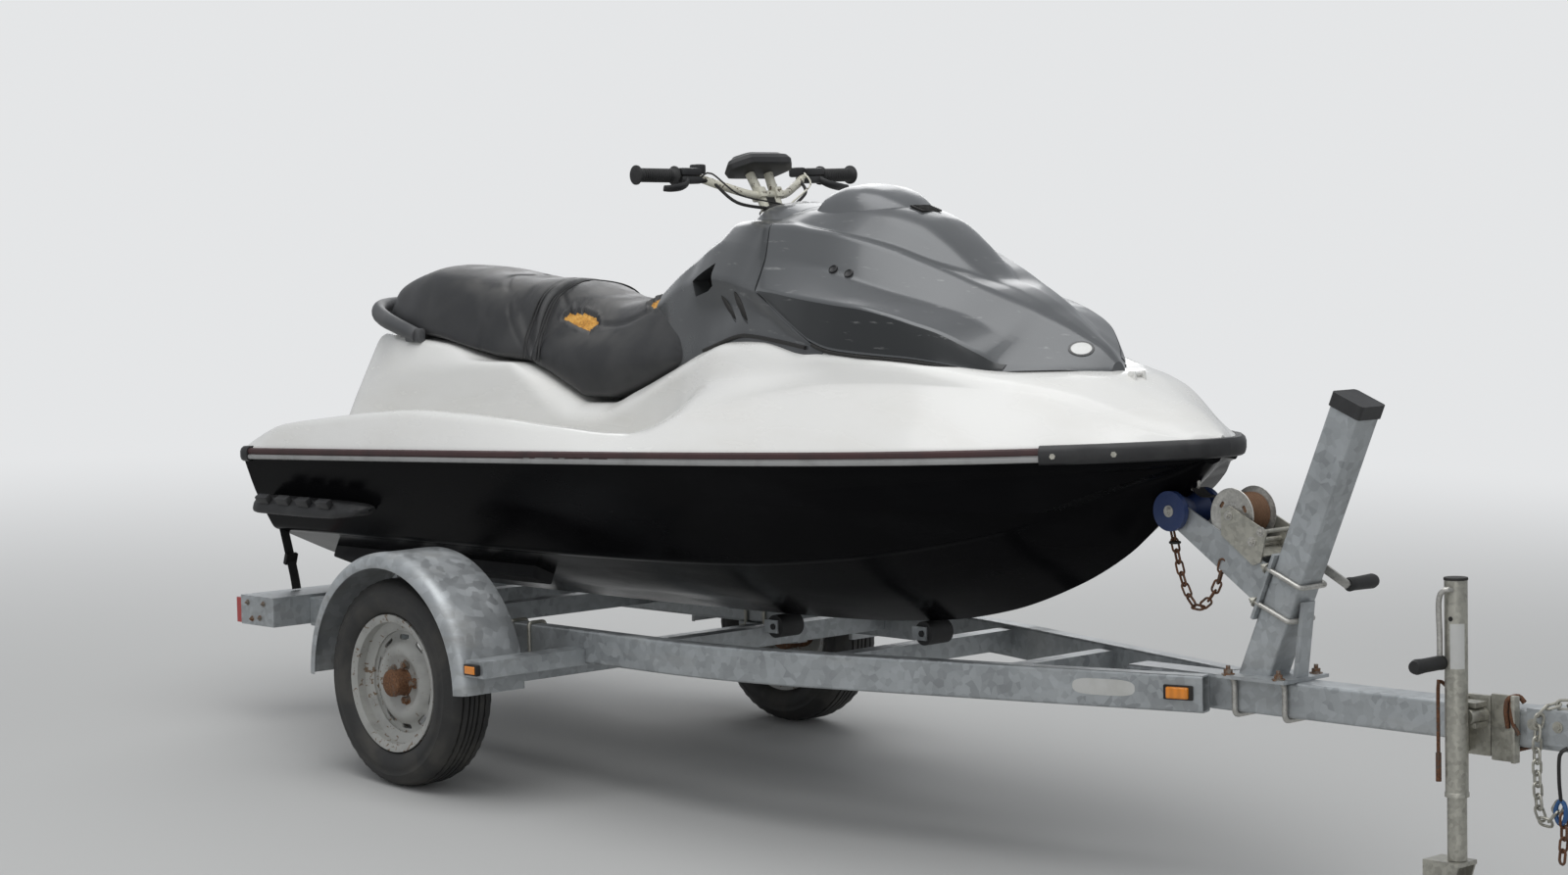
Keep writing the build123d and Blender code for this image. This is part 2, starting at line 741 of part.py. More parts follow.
for side, hand in ((1, "left"), (-1, "right")):
    with BuildPart() as tyre:
        add(wheel_profile(tyre_profile, side))
    write(tyre, f"tyre_{hand}")
    with BuildPart() as rim:
        add(wheel_profile(rim_profile, side))
    write(rim, f"rim_{hand}")
    with BuildPart() as hub:
        add(wheel_profile(hub_profile, side))
    write(hub, f"hub_{hand}")

# Frame: two members that bend in to the tongue
def beam_run(side, grow, hollow):
    """One side member, or a solid block of its outline grown all round."""
    middle = frame_top - beam_height / 2
    route = [(beam_rear_x, side * beam_y, middle), (bend_x, side * beam_y, middle),
             (tongue_join_x, side * (tongue_size + beam_width + 1) / 2, middle)]
    with BuildPart() as run:
        with BuildLine() as path:
            FilletPolyline(*route, radius=bend_radius)
        with BuildSketch(Plane(origin=route[0], x_dir=(0, 1, 0), z_dir=(1, 0, 0))):
            RectangleRounded(beam_width + grow, beam_height + grow, 7)
            if hollow:
                RectangleRounded(beam_width - 2 * tube_wall, beam_height - 2 * tube_wall, 3, mode=Mode.SUBTRACT)
        sweep(path=path.line)
    return run.part


for side, hand in ((1, "left"), (-1, "right")):
    with BuildPart() as side_beam:
        add(beam_run(side, 0, True))
        with Locations((tongue_join_x, 0, tongue_z)):
            Box(400, tongue_size + 1, 200, mode=Mode.SUBTRACT)
    write(side_beam, f"side_beam_{hand}")

tongue_length = tongue_front_x - tongue_rear_x
with BuildPart() as tongue:
    with BuildSketch(Plane.YZ.offset(tongue_rear_x)):
        with Locations((0, tongue_z)):
            RectangleRounded(tongue_size, tongue_size, 8)
            RectangleRounded(tongue_size - 2 * tube_wall, tongue_size - 2 * tube_wall, 4, mode=Mode.SUBTRACT)
    extrude(amount=tongue_length)
write(tongue, "tongue")

# Cross members between the side members, and the lamp board across the tail
member_drop = 12
member_size = 50
member_rows = [
    # x, half length to the middle of the side members
    (-640, beam_y),
    (-330, beam_y),
    (640, beam_y),
    (1180, 350),
    (1640, 214),
]

with BuildPart() as cross_members:
    for x, half_length in member_rows:
        with Locations((x, 0, frame_top - member_drop - member_size / 2)):
            Box(member_size, 2 * half_length, member_size)
    for side in (1, -1):
        add(beam_run(side, 0.6, False), mode=Mode.SUBTRACT)
write(cross_members, "cross_members")

lamp_board_x = beam_rear_x - 1
lamp_board_height = 84
with BuildPart() as lamp_board:
    with Locations((lamp_board_x - lamp_board_depth / 2, 0, frame_top + 6 - lamp_board_height / 2)):
        Box(lamp_board_depth, 2 * lamp_board_half, lamp_board_height)
    with Locations((lamp_board_x - lamp_board_depth / 2, 0, frame_top + 6 - lamp_board_height / 2 - 3)):
        Box(lamp_board_depth - 6, 2 * lamp_board_half - 6, lamp_board_height, mode=Mode.SUBTRACT)
write(lamp_board, "lamp_board")

# Red lamps on the board's tail and amber markers along the side
with BuildPart() as rear_lamps:
    for side in (1, -1):
        with Locations((lamp_board_x - lamp_board_depth - lens_depth / 2, side * (lamp_board_half - 105),
                        frame_top + 3 - lamp_board_height / 2)):
            Box(lens_depth, 205, lamp_board_height - 12)
    fillet(rear_lamps.edges().filter_by(Axis.Z), radius=5)
write(rear_lamps, "rear_lamps")

bracket_width = 72
bracket_height = 42
bracket_end_y = 778
bracket_top = 366
bracket_x = (fender_radius ** 2 - (bracket_top - bracket_height - axle_z) ** 2) ** 0.5 + seat_slack + bracket_width / 2
stay_z = 350
stay_size = 40
stay_x = -((fender_radius ** 2 - (stay_z - stay_size / 2 - axle_z) ** 2) ** 0.5 + seat_slack + stay_size / 2)
with BuildPart() as fender_brackets:
    for side in (1, -1):
        y = side * (beam_outer_y + bracket_end_y + 0.5) / 2
        with Locations((bracket_x, y, bracket_top - bracket_height / 2)):
            Box(bracket_width, bracket_end_y - beam_outer_y - 0.5, bracket_height)
        with Locations((bracket_x, y, bracket_top - bracket_height / 2 - 3)):
            Box(bracket_width - 6, bracket_end_y - beam_outer_y - 20, bracket_height, mode=Mode.SUBTRACT)
        with Locations((stay_x, side * (beam_outer_y + 0.5 + 87), stay_z)):
            Box(stay_size, 174, stay_size)
write(fender_brackets, "fender_brackets")

marker_x = 2060
with BuildPart() as side_markers:
    for side in (1, -1):
        with Locations((bracket_x, side * (bracket_end_y + 8.3), bracket_top - bracket_height / 2)):
            Box(52, 16, 28)
write(side_markers, "side_markers")

# Fenders, turned round the axle line, with a rolled outer edge
fender_inner_y = fender_outer_y - fender_width
fender_round = 30
for side, hand in ((1, "left"), (-1, "right")):
    with BuildPart() as fender:
        with BuildSketch(Plane.XY) as strip:
            with BuildLine():
                outer_edge = [(-fender_radius, side * fender_inner_y),
                              (-fender_radius, side * (fender_outer_y - fender_round)),
                              (-fender_radius + fender_round * 0.3, side * (fender_outer_y - fender_round * 0.3)),
                              (-fender_radius + fender_round, side * fender_outer_y),
                              (-fender_radius + fender_lip, side * fender_outer_y)]
                inner_edge = [(-fender_radius + fender_lip, side * (fender_outer_y - fender_sheet)),
                              (-fender_radius + fender_round, side * (fender_outer_y - fender_sheet)),
                              (-fender_radius + fender_round * 0.3 + fender_sheet,
                               side * (fender_outer_y - fender_round * 0.3 - fender_sheet)),
                              (-fender_radius + fender_sheet, side * (fender_outer_y - fender_round)),
                              (-fender_radius + fender_sheet, side * fender_inner_y)]
                Polyline(*outer_edge, *inner_edge, close=True)
            make_face()
        revolve(strip.sketch.moved(Pos(0, 0, axle_z)).face(), axis=Axis((0, 0, axle_z), (0, 1, 0)),
                revolution_arc=180)
    write(fender, f"fender_{hand}")

# Bunks under the hull's flat sides, on posts from the cross members
bunk_y = 262
bunk_front = 30
bunk_rear = -900
bunk_tilt = 22
bunk_size = (70, 40)
bunk_nip = 1.5
bunk_middle = (bunk_front + bunk_rear) / 2
bunk_top = hull_bottom(bunk_middle, bunk_y) + bunk_nip
with BuildPart() as bunks:
    for side in (1, -1):
        with Locations(Location((bunk_middle, side * bunk_y, bunk_top), (side * bunk_tilt, 0, 0))):
            Box(bunk_front - bunk_rear, *bunk_size, align=(Align.CENTER, Align.CENTER, Align.MAX))
    fillet(bunks.edges().filter_by(Axis.X), radius=6)
    add(hull.part, mode=Mode.SUBTRACT)
write(bunks, "bunks")

with BuildPart() as bunk_posts:
    for x in (-640, -330):
        for side in (1, -1):
            with Locations((x, side * (bunk_y + 2), frame_top - member_drop)):
                Box(40, 46, bunk_top - bunk_size[1] / 2 - frame_top + member_drop,
                    align=(Align.CENTER, Align.CENTER, Align.MIN))
    add(bunks.part, mode=Mode.SUBTRACT)
    split(bisect_by=Plane.XY.offset(bunk_top - bunk_size[1] / 2 - 4), keep=Keep.BOTTOM)
write(bunk_posts, "bunk_posts")

# Keel rollers in brackets on the front faces of two members
keel_roller_radius = 30
keel_roller_offset = member_size / 2 + keel_roller_radius + 4
keel_roller_spots = [(x + keel_roller_offset, hull_bottom(x + keel_roller_offset, 0) - 1.003 * keel_roller_radius
                      - seat_slack) for x in (640, 1180)]
with BuildPart() as keel_rollers:
    for x, z in keel_roller_spots:
        with Locations((x, 0, z)):
            Cylinder(keel_roller_radius, 76, rotation=(90, 0, 0))
            Cylinder(8, 96, rotation=(90, 0, 0))
write(keel_rollers, "keel_rollers")

with BuildPart() as roller_brackets:
    for x, z in keel_roller_spots:
        for side in (1, -1):
            with Locations((x - keel_roller_offset + member_size / 2 + 0.3, side * 42, z)):
                Box(keel_roller_offset - member_size / 2 + 14, 5, 34, align=(Align.MIN, Align.CENTER, Align.CENTER))
        with Locations((x, 0, z)):
            Cylinder(8.3, 100, rotation=(90, 0, 0), mode=Mode.SUBTRACT)
write(roller_brackets, "roller_brackets")

# Winch post with its foot plate, brace and cap
lean = radians(post_lean)
post_foot = Plane(origin=(post_base_x, 0, frame_top + 8), x_dir=(cos(lean), 0, -sin(lean)),
                  z_dir=(sin(lean), 0, cos(lean)))
foot_length = 190
foot_width = 165
with BuildPart() as winch_post:
    with BuildSketch(post_foot.offset(-40)):
        RectangleRounded(post_size, post_size, 7)
        RectangleRounded(post_size - 2 * tube_wall, post_size - 2 * tube_wall, 4, mode=Mode.SUBTRACT)
    extrude(amount=post_length + 40)
    split(bisect_by=Plane.XY.offset(frame_top + 0.5), keep=Keep.TOP)
    with Locations((post_base_x + 22, 0, frame_top + 0.4 + 4)):
        Box(foot_length, foot_width, 8)
    add(slab([(post_base_x + 95, frame_top + 8), (post_base_x + 107, frame_top + 8), (post_base_x + 128, 590),
              (post_base_x + 118, 590)], -20, 20))
write(winch_post, "winch_post")

with BuildPart() as post_cap:
    with BuildSketch(post_foot.offset(post_length - 26)):
        RectangleRounded(post_size + 8, post_size + 8, 9)
    extrude(amount=32)
    with BuildSketch(post_foot.offset(post_length - 40)):
        Rectangle(post_size + 0.4, post_size + 0.4)
    extrude(amount=40.3, mode=Mode.SUBTRACT)
write(post_cap, "post_cap")

# Arm from the post to the bow roller, a channel open at the top
arm_wall = 5
arm_half = 48
arm_tip = 29
pin_radius = 8
arm_side = [(roller_x - arm_tip, roller_z - 6), (roller_x - 14, roller_z - arm_tip), (2290, 578), (2330, 664),
            (roller_x + 16, roller_z + 20), (roller_x - 12, roller_z + 26)]
with BuildPart() as roller_arm:
    add(slab(arm_side, -arm_half, arm_half))
    add(slab([(x + 2, z + 7) for x, z in arm_side[1:3]] + [(2360, 780), (roller_x - 60, 860)],
             arm_wall - arm_half, arm_half - arm_wall), mode=Mode.SUBTRACT)
    with Locations((roller_x, 0, roller_z)):
        Cylinder(pin_radius + 0.4, 120, rotation=(90, 0, 0), mode=Mode.SUBTRACT)
        Cylinder(42, 2 * (arm_half - arm_wall), rotation=(90, 0, 0), mode=Mode.SUBTRACT)
    with BuildSketch(post_foot.offset(120)):
        with Locations((-(post_size / 2 + 4.4), 0)):
            Rectangle(8, 104)
    extrude(amount=160)
    with BuildSketch(post_foot.offset(-20)):
        with Locations((post_size / 2 - 0.4, 0)):
            Rectangle(2 * post_size, post_size + 60)
    extrude(amount=500, mode=Mode.SUBTRACT)
write(roller_arm, "roller_arm")

with BuildPart() as bow_roller:
    with BuildSketch(Plane.YZ.offset(roller_x)):
        with BuildLine():
            Polyline((-68, roller_z), (-68, roller_z + roller_radius), (-54, roller_z + roller_radius),
                     (-54, roller_z + pin_radius), (-42, roller_z + pin_radius), (-42, roller_z + 38),
                     (0, roller_z + 25), (42, roller_z + 38), (42, roller_z + pin_radius),
                     (54, roller_z + pin_radius), (54, roller_z + roller_radius), (68, roller_z + roller_radius),
                     (68, roller_z), close=True)
        make_face()
    revolve(axis=Axis((roller_x, 0, roller_z), (0, 1, 0)))
write(bow_roller, "bow_roller")

# Winch: two side plates on the arm, drum with its strap between them
winch_plate_y = arm_half + 0.3
with BuildPart() as winch_frame:
    for y in (-winch_plate_y - 5, winch_plate_y):
        add(slab([(drum_x - 22, drum_z - 45), (drum_x - 22, drum_z + 12), (drum_x, drum_z + 22),
                  (drum_x + 105, drum_z - 30), (drum_x + 88, drum_z - 100), (drum_x + 66, drum_z - 108)], y, y + 5))
    with Locations((drum_x, 0, drum_z)):
        Cylinder(pin_radius, 2 * winch_plate_y + 1, rotation=(90, 0, 0))
write(winch_frame, "winch_frame")

drum_half = 42
with BuildPart() as winch_drum:
    with BuildSketch(Plane.YZ.offset(drum_x)):
        with BuildLine():
            Polyline((-drum_half, drum_z + pin_radius + 0.4), (-drum_half, drum_z + drum_radius),
                     (-drum_half + 3, drum_z + drum_radius), (-drum_half + 3, drum_z + 46), (drum_half - 3, drum_z + 46),
                     (drum_half - 3, drum_z + drum_radius), (drum_half, drum_z + drum_radius),
                     (drum_half, drum_z + pin_radius + 0.4), close=True)
        make_face()
    revolve(axis=Axis((drum_x, 0, drum_z), (0, 1, 0)))
write(winch_drum, "winch_drum")

# Jack: clamped outer tube, sliding inner tube, fork and jockey wheel
jack_gap = 0.6
fork_height = 150
inner_bottom = jockey_z + fork_height + 0.5
with BuildPart() as jack_outer:
    with BuildSketch(Plane.XY.offset(jack_tube_bottom)):
        with Locations((jack_x, jack_y)):
            Circle(jack_tube_radius)
            Circle(jack_inner_radius + jack_gap, mode=Mode.SUBTRACT)
    extrude(amount=jack_tube_top - jack_tube_bottom)
    clamp_reach = abs(jack_y) - tongue_size / 2 - 0.3
    with Locations((jack_x, -tongue_size / 2 - 0.3 - clamp_reach / 2, tongue_z)):
        Box(60, clamp_reach, 70)
    with Locations((jack_x, jack_y, tongue_z)):
        Cylinder(jack_inner_radius + jack_gap, 120, mode=Mode.SUBTRACT)
write(jack_outer, "jack_outer")

inner_top = jack_tube_top - jack_travel_up - 30
with BuildPart() as jack_inner:
    with Locations((jack_x, jack_y, (inner_bottom + inner_top) / 2)):
        Cylinder(jack_inner_radius, inner_top - inner_bottom)
write(jack_inner, "jack_inner")

fork_sheet = 5
with BuildPart() as jack_fork:
    with Locations((jack_x - fork_trail / 2 + 4, jack_y, inner_bottom - 5.5)):
        Box(fork_trail + 42, jockey_width + 23, 9)
    for side in (1, -1):
        y = jack_y + side * (jockey_width / 2 + 9)
        add(slab([(jack_x - fork_trail - 18, inner_bottom - 1), (jack_x + 25, inner_bottom - 1),
                  (jack_x - fork_trail + 18, jockey_z - 18), (jack_x - fork_trail - 18, jockey_z - 18)],
                 y - fork_sheet / 2, y + fork_sheet / 2))
    with Locations((jack_x - fork_trail, jack_y, jockey_z)):
        Cylinder(8, jockey_width + 18, rotation=(90, 0, 0))
write(jack_fork, "jack_fork")

with BuildPart() as jockey_wheel:
    with Locations((jack_x - fork_trail, jack_y, jockey_z)):
        Cylinder(jockey_radius, jockey_width, rotation=(90, 0, 0))
        Cylinder(8.5, jockey_width + 4, rotation=(90, 0, 0), mode=Mode.SUBTRACT)
    fillet(jockey_wheel.edges().filter_by(GeomType.CIRCLE).group_by(SortBy.RADIUS)[-1], radius=9)
write(jockey_wheel, "jockey_wheel")

# Coupler with its ball socket, bolted on the tongue's end
socket_radius = ball_diameter / 2 + ball_clearance
socket_x = coupler_nose_x - 42
with BuildPart() as coupler:
    with Locations((tongue_front_x - 45, 0, tongue_z)):
        Box(170, tongue_size + 12, tongue_size + 12)
    with Locations((tongue_front_x + 0.3, 0, tongue_z)):
        Box(200, tongue_size + 0.6, tongue_size + 0.6, align=(Align.MAX, Align.CENTER, Align.CENTER),
            mode=Mode.SUBTRACT)
    with Locations(((tongue_front_x + 30 + socket_x) / 2, 0, tongue_z + 12)):
        Box(socket_x - tongue_front_x - 30 + 20, 70, 50)
    with Locations((socket_x, 0, tongue_z + 5)):
        Cylinder(42, 66)
    with Locations((socket_x, 0, tongue_z - 28)):
        Cylinder(socket_radius, 52, align=(Align.CENTER, Align.CENTER, Align.MIN), mode=Mode.SUBTRACT)
write(coupler, "coupler")
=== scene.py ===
import bmesh
import bpy
import json
import math
import random
from mathutils import Matrix, Vector
from mathutils.kdtree import KDTree

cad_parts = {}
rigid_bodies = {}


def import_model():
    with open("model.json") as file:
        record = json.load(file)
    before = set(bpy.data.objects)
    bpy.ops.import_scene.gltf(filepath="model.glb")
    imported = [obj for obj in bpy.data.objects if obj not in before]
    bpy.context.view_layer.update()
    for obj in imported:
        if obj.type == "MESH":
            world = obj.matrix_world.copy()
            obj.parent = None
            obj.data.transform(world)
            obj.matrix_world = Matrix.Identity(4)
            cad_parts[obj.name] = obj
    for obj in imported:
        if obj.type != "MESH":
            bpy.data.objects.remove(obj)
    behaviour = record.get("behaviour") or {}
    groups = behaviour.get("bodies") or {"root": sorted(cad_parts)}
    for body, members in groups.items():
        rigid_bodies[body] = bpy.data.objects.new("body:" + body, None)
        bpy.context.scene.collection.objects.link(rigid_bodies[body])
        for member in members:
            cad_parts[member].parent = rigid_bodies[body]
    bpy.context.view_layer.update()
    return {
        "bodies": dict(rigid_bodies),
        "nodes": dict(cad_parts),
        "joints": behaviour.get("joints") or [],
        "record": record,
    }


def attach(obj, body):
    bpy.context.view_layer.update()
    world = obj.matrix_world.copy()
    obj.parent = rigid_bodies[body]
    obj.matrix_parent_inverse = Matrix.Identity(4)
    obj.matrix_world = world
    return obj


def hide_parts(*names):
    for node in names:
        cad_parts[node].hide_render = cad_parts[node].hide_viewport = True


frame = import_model()
nodes = frame["nodes"]
print("frame in:", len(nodes), "nodes")

# The craft and trailer are drawn level in millimetres, x = 0 at the axle, then parked nose up
parking = {"noseUp": 3.0, "axleHeight": 273.5, "shift": -1181.5556}
park = (Matrix.Translation((parking["shift"] / 1000, 0, parking["axleHeight"] / 1000))
        @ Matrix.Rotation(-math.radians(parking["noseUp"]), 4, "Y")
        @ Matrix.Translation((0, 0, -parking["axleHeight"] / 1000)) @ Matrix.Scale(0.001, 4))


def parked(x, y, z):
    return park @ Vector((x, y, z))


# Camera at the photograph's place
camera = {"place": (5.2374, -5.426, 1.756), "azimuth": 46.637, "down": 5.945, "roll": 0.891, "lens": 70.0,
          "sensor": 36, "far": 200}


def makeCamera(s):
    turn, dip, roll = (math.radians(s[k]) for k in ("azimuth", "down", "roll"))
    ahead = Vector((-math.sin(turn) * math.cos(dip), math.cos(turn) * math.cos(dip), -math.sin(dip)))
    right = Vector((math.cos(turn), math.sin(turn), 0))
    up = right.cross(ahead)
    sideways = right * math.cos(roll) + up * math.sin(roll)
    upward = up * math.cos(roll) - right * math.sin(roll)
    data = bpy.data.cameras.new("camera")
    data.lens, data.sensor_width, data.clip_end = s["lens"], s["sensor"], s["far"]
    holder = bpy.data.objects.new("camera", data)
    bpy.context.collection.objects.link(holder)
    holder.matrix_world = Matrix.Translation(s["place"]) @ Matrix((sideways, upward, -ahead)).transposed().to_4x4()
    bpy.context.scene.camera = holder


makeCamera(camera)

# Shader maths


def plug(tree, socket, value):
    if isinstance(value, Wire):
        tree.links.new(value.socket, socket)
    elif isinstance(value, (tuple, list)) and len(value) == 3 and socket.type == "RGBA":
        socket.default_value = (*value, 1)
    else:
        socket.default_value = value


class Wire:
    def __init__(self, tree, socket):
        self.tree = tree
        self.socket = socket

    def work(self, operation, first, second):
        node = self.tree.nodes.new("ShaderNodeMath")
        node.operation = operation
        plug(self.tree, node.inputs[0], first)
        plug(self.tree, node.inputs[1], second)
        return Wire(self.tree, node.outputs[0])

    def __add__(self, other):
        return self.work("ADD", self, other)

    def __sub__(self, other):
        return self.work("SUBTRACT", self, other)

    def __rsub__(self, other):
        return self.work("SUBTRACT", other, self)

    def __mul__(self, other):
        return self.work("MULTIPLY", self, other)

    __radd__ = __add__
    __rmul__ = __mul__


class Tree:
    def __init__(self, tree):
        self.tree = tree

    def node(self, kind, settings=None, sockets=None, out=0):
        node = self.tree.nodes.new(kind)
        for key, value in (settings or {}).items():
            if key == "stops":
                ramp = node.color_ramp
                while len(ramp.elements) < len(value):
                    ramp.elements.new(0.5)
                for element, (position, colour) in zip(ramp.elements, value):
                    element.position = position
                    element.color = (*colour, 1) if isinstance(colour, tuple) else (colour, colour, colour, 1)
            else:
                setattr(node, key, value)
        for key, value in (sockets or {}).items():
            plug(self.tree, node.inputs[key], value)
        return Wire(self.tree, node.outputs[out])


def toned(colour, share):
    return tuple(min(c * share, 1) for c in colour)


class Finish(Tree):
    def __init__(self, name, **fixed):
        self.material = bpy.data.materials.new(name)
        self.material.use_nodes = True
        super().__init__(self.material.node_tree)
        self.shader = self.tree.nodes["Principled BSDF"]
        self.place = self.node("ShaderNodeTexCoord", out="Object")
        self.normal = None
        for socket, value in fixed.items():
            self.feed(socket, value)

    def feed(self, socket, value):
        plug(self.tree, self.shader.inputs[socket.replace("_", " ")], value)

    def stretched(self, scale):
        return self.node("ShaderNodeMapping", {}, {"Vector": self.place, "Scale": scale})

    def noise(self, scale, detail=4.0, stretch=None, roughness=0.55, distortion=0.0):
        return self.node("ShaderNodeTexNoise", {}, {"Vector": self.stretched(stretch) if stretch else self.place,
                                                    "Scale": scale, "Detail": detail, "Roughness": roughness,
                                                    "Distortion": distortion})

    def cells(self, scale, feature="F1", out="Color", stretch=None):
        return self.node("ShaderNodeTexVoronoi", {"feature": feature},
                         {"Vector": self.stretched(stretch) if stretch else self.place, "Scale": scale}, out)

    def ramp(self, value, stops, out="Color"):
        return self.node("ShaderNodeValToRGB", {"stops": stops}, {"Fac": value}, out)

    def step(self, value, low, high):
        return self.node("ShaderNodeMapRange", {"interpolation_type": "SMOOTHSTEP"},
                         {"Value": value, "From Min": low, "From Max": high})

    def mix(self, factor, first, second):
        node = self.tree.nodes.new("ShaderNodeMix")
        node.data_type = "RGBA"
        plug(self.tree, node.inputs[0], factor)
        plug(self.tree, node.inputs[6], first)
        plug(self.tree, node.inputs[7], second)
        return Wire(self.tree, node.outputs[2])

    def upward(self):
        facing = self.node("ShaderNodeTexCoord", out="Normal")
        return self.node("ShaderNodeSeparateXYZ", {}, {"Vector": facing}, "Z")

    def bump(self, value, depth, strength=1.0):
        sockets = {"Height": value, "Distance": depth, "Strength": strength}
        if self.normal:
            sockets["Normal"] = self.normal
        self.normal = self.node("ShaderNodeBump", {}, sockets, "Normal")

    def done(self):
        if self.normal:
            self.feed("Normal", self.normal)
        return self.material


def galvanised(name, tone, dirt=0.4, spangle=55.0, metal=0.55):
    f = Finish(name, Specular_IOR_Level=0.5)
    grain = f.node("ShaderNodeSeparateColor", {}, {"Color": f.cells(spangle)}, 0)
    fine = f.noise(9, 6)
    cloud = f.noise(3.1, 5, distortion=0.6)
    runs = f.noise(14, 4, stretch=(0.35, 0.35, 2.2))
    light = grain * 0.24 + fine * 0.34 + cloud * 0.5
    base = f.ramp(light, [(0.32, toned(tone, 0.72)), (0.52, tone), (0.78, toned(tone, 1.3))])
    stain = f.step(runs * 0.55 + cloud * 0.6, 0.62 - 0.1 * dirt, 0.85 - 0.1 * dirt)
    f.feed("Base Color", f.mix(stain * (0.5 * dirt), base, (0.17, 0.145, 0.11)))
    f.feed("Metallic", metal - stain * 0.3)
    f.feed("Roughness", f.step(light, 0.3, 0.8) * 0.22 + 0.34 + stain * 0.2)
    f.bump(f.noise(240, 3) * 0.6 + grain * 0.25, 0.0006, 0.35)
    return f.done()


def gelcoat(name, colour, haze, gloss, wave=0.0006, coat=0.35, specular=0.5):
    f = Finish(name, Coat_Weight=coat, Coat_Roughness=0.05, Specular_IOR_Level=specular)
    film = f.noise(2.3, 6, distortion=0.4)
    smear = f.noise(7, 5, stretch=(0.5, 1, 2.0))
    marks = f.step(f.noise(70, 2, stretch=(1, 1, 12)), 0.66, 0.72)
    f.feed("Base Color", f.mix(f.step(film * 0.6 + smear * 0.5, 0.5, 0.8) * 0.5, colour, haze))
    f.feed("Roughness", f.step(smear, 0.35, 0.75) * 0.12 + gloss + marks * 0.12)
    f.bump(f.noise(1.6, 2), wave * 6, 0.25)
    return f.done()


def plastic(name, colour, worn, roughness=0.45, grain=900.0, depth=0.0004):
    f = Finish(name)
    patch = f.noise(11, 6, distortion=0.3)
    dust = f.step(f.noise(38, 5), 0.48, 0.75)
    f.feed("Base Color", f.mix(f.step(patch, 0.42, 0.72) * 0.55 + dust * 0.2, colour, worn))
    f.feed("Roughness", patch * 0.22 + roughness - 0.08 + dust * 0.08)
    f.bump(f.noise(grain, 3), depth, 0.4)
    return f.done()


def greyMoulding(name, colour, flake=0.55):
    f = Finish(name, Coat_Weight=0.3, Coat_Roughness=0.1)
    glint = f.node("ShaderNodeSeparateColor", {}, {"Color": f.cells(2600)}, 0)
    film = f.noise(4, 6, distortion=0.5)
    scuff = f.step(f.noise(26, 6, stretch=(0.5, 1, 3)), 0.63, 0.74)
    tone = f.mix(glint * 0.35 + film * 0.3, toned(colour, 0.82), toned(colour, 1.22))
    f.feed("Base Color", f.mix(scuff * 0.25, tone, (0.5, 0.5, 0.49)))
    f.feed("Metallic", glint * 0.12 + flake)
    f.feed("Roughness", film * 0.16 + 0.22 + scuff * 0.2)
    f.bump(f.noise(1500, 2), 0.0002, 0.12)
    return f.done()


def vinyl(name, colour, worn, dusty=(0.17, 0.165, 0.155)):
    f = Finish(name, Coat_Weight=0.06, Coat_Roughness=0.4, Specular_IOR_Level=0.45)
    pores = f.cells(520, "DISTANCE_TO_EDGE", "Distance")
    wear = f.noise(6, 6, distortion=0.6)
    haze = f.step(f.upward(), 0.45, 0.98) * f.step(f.noise(9, 7, distortion=0.5), 0.36, 0.68)
    warped = f.node("ShaderNodeVectorMath", {"operation": "ADD"},
                    {0: f.place, 1: f.node("ShaderNodeTexNoise", {}, {"Vector": f.place, "Scale": 30.0}, "Color")})
    crack = f.node("ShaderNodeTexVoronoi", {"feature": "DISTANCE_TO_EDGE"}, {"Vector": warped, "Scale": 40.0},
                   "Distance")
    split = (1 - f.step(crack, 0.0, 0.02)) * f.step(wear, 0.58, 0.68)
    worked = f.mix(f.step(wear, 0.38, 0.7) * 0.55, colour, worn)
    f.feed("Base Color", f.mix(split * 0.6, f.mix(haze * 0.62, worked, dusty), (0.012, 0.012, 0.012)))
    f.feed("Roughness", f.step(wear, 0.3, 0.75) * 0.18 + 0.34 + haze * 0.22)
    f.bump(f.step(pores, 0.0, 0.12), 0.0005, 0.3)
    f.bump(f.noise(16, 3), 0.004, 0.22)
    f.bump(1 - split, 0.0012, 0.5)
    return f.done()


def foam(name):
    f = Finish(name)
    crumb = f.noise(130, 7)
    stain = f.noise(22, 5, distortion=0.6)
    f.feed("Base Color", f.ramp(crumb * 0.5 + stain * 0.5, [(0.3, (0.25, 0.10, 0.02)), (0.5, (0.62, 0.31, 0.06)),
                                                            (0.72, (0.78, 0.50, 0.15))]))
    f.feed("Roughness", crumb * 0.2 + 0.75)
    f.bump(crumb, 0.004, 0.9)
    return f.done()


def rustyIron(name, steel, rust, share):
    f = Finish(name)
    spread = f.noise(34, 8, distortion=0.8)
    fine = f.noise(210, 6)
    mask = f.step(spread * 0.75 + fine * 0.3, 0.62 - share * 0.4, 0.78 - share * 0.4)
    brown = f.ramp(fine, [(0.3, toned(rust, 0.45)), (0.55, rust), (0.8, toned(rust, 1.7))])
    f.feed("Base Color", f.mix(mask, f.mix(fine * 0.5, steel, toned(steel, 0.7)), brown))
    f.feed("Metallic", 0.7 - mask * 0.65)
    f.feed("Roughness", mask * 0.45 + 0.38)
    f.bump(mask * 0.5 + fine * 0.4, 0.001, 0.6)
    return f.done()


def chippedPaint(name, colour, under, share):
    f = Finish(name, Coat_Weight=0.2)
    flaws = f.noise(75, 6, distortion=0.5) * 0.7 + f.noise(12, 4) * 0.35
    chips = f.step(flaws, 0.66 - share * 0.2, 0.69 - share * 0.2)
    grime = f.noise(16, 6)
    f.feed("Base Color", f.mix(chips, f.mix(f.step(grime, 0.42, 0.75) * 0.6, colour, toned(colour, 0.62)), under))
    f.feed("Roughness", chips * 0.3 + 0.34 + grime * 0.15)
    f.bump(1 - chips, 0.0006, 0.5)
    return f.done()


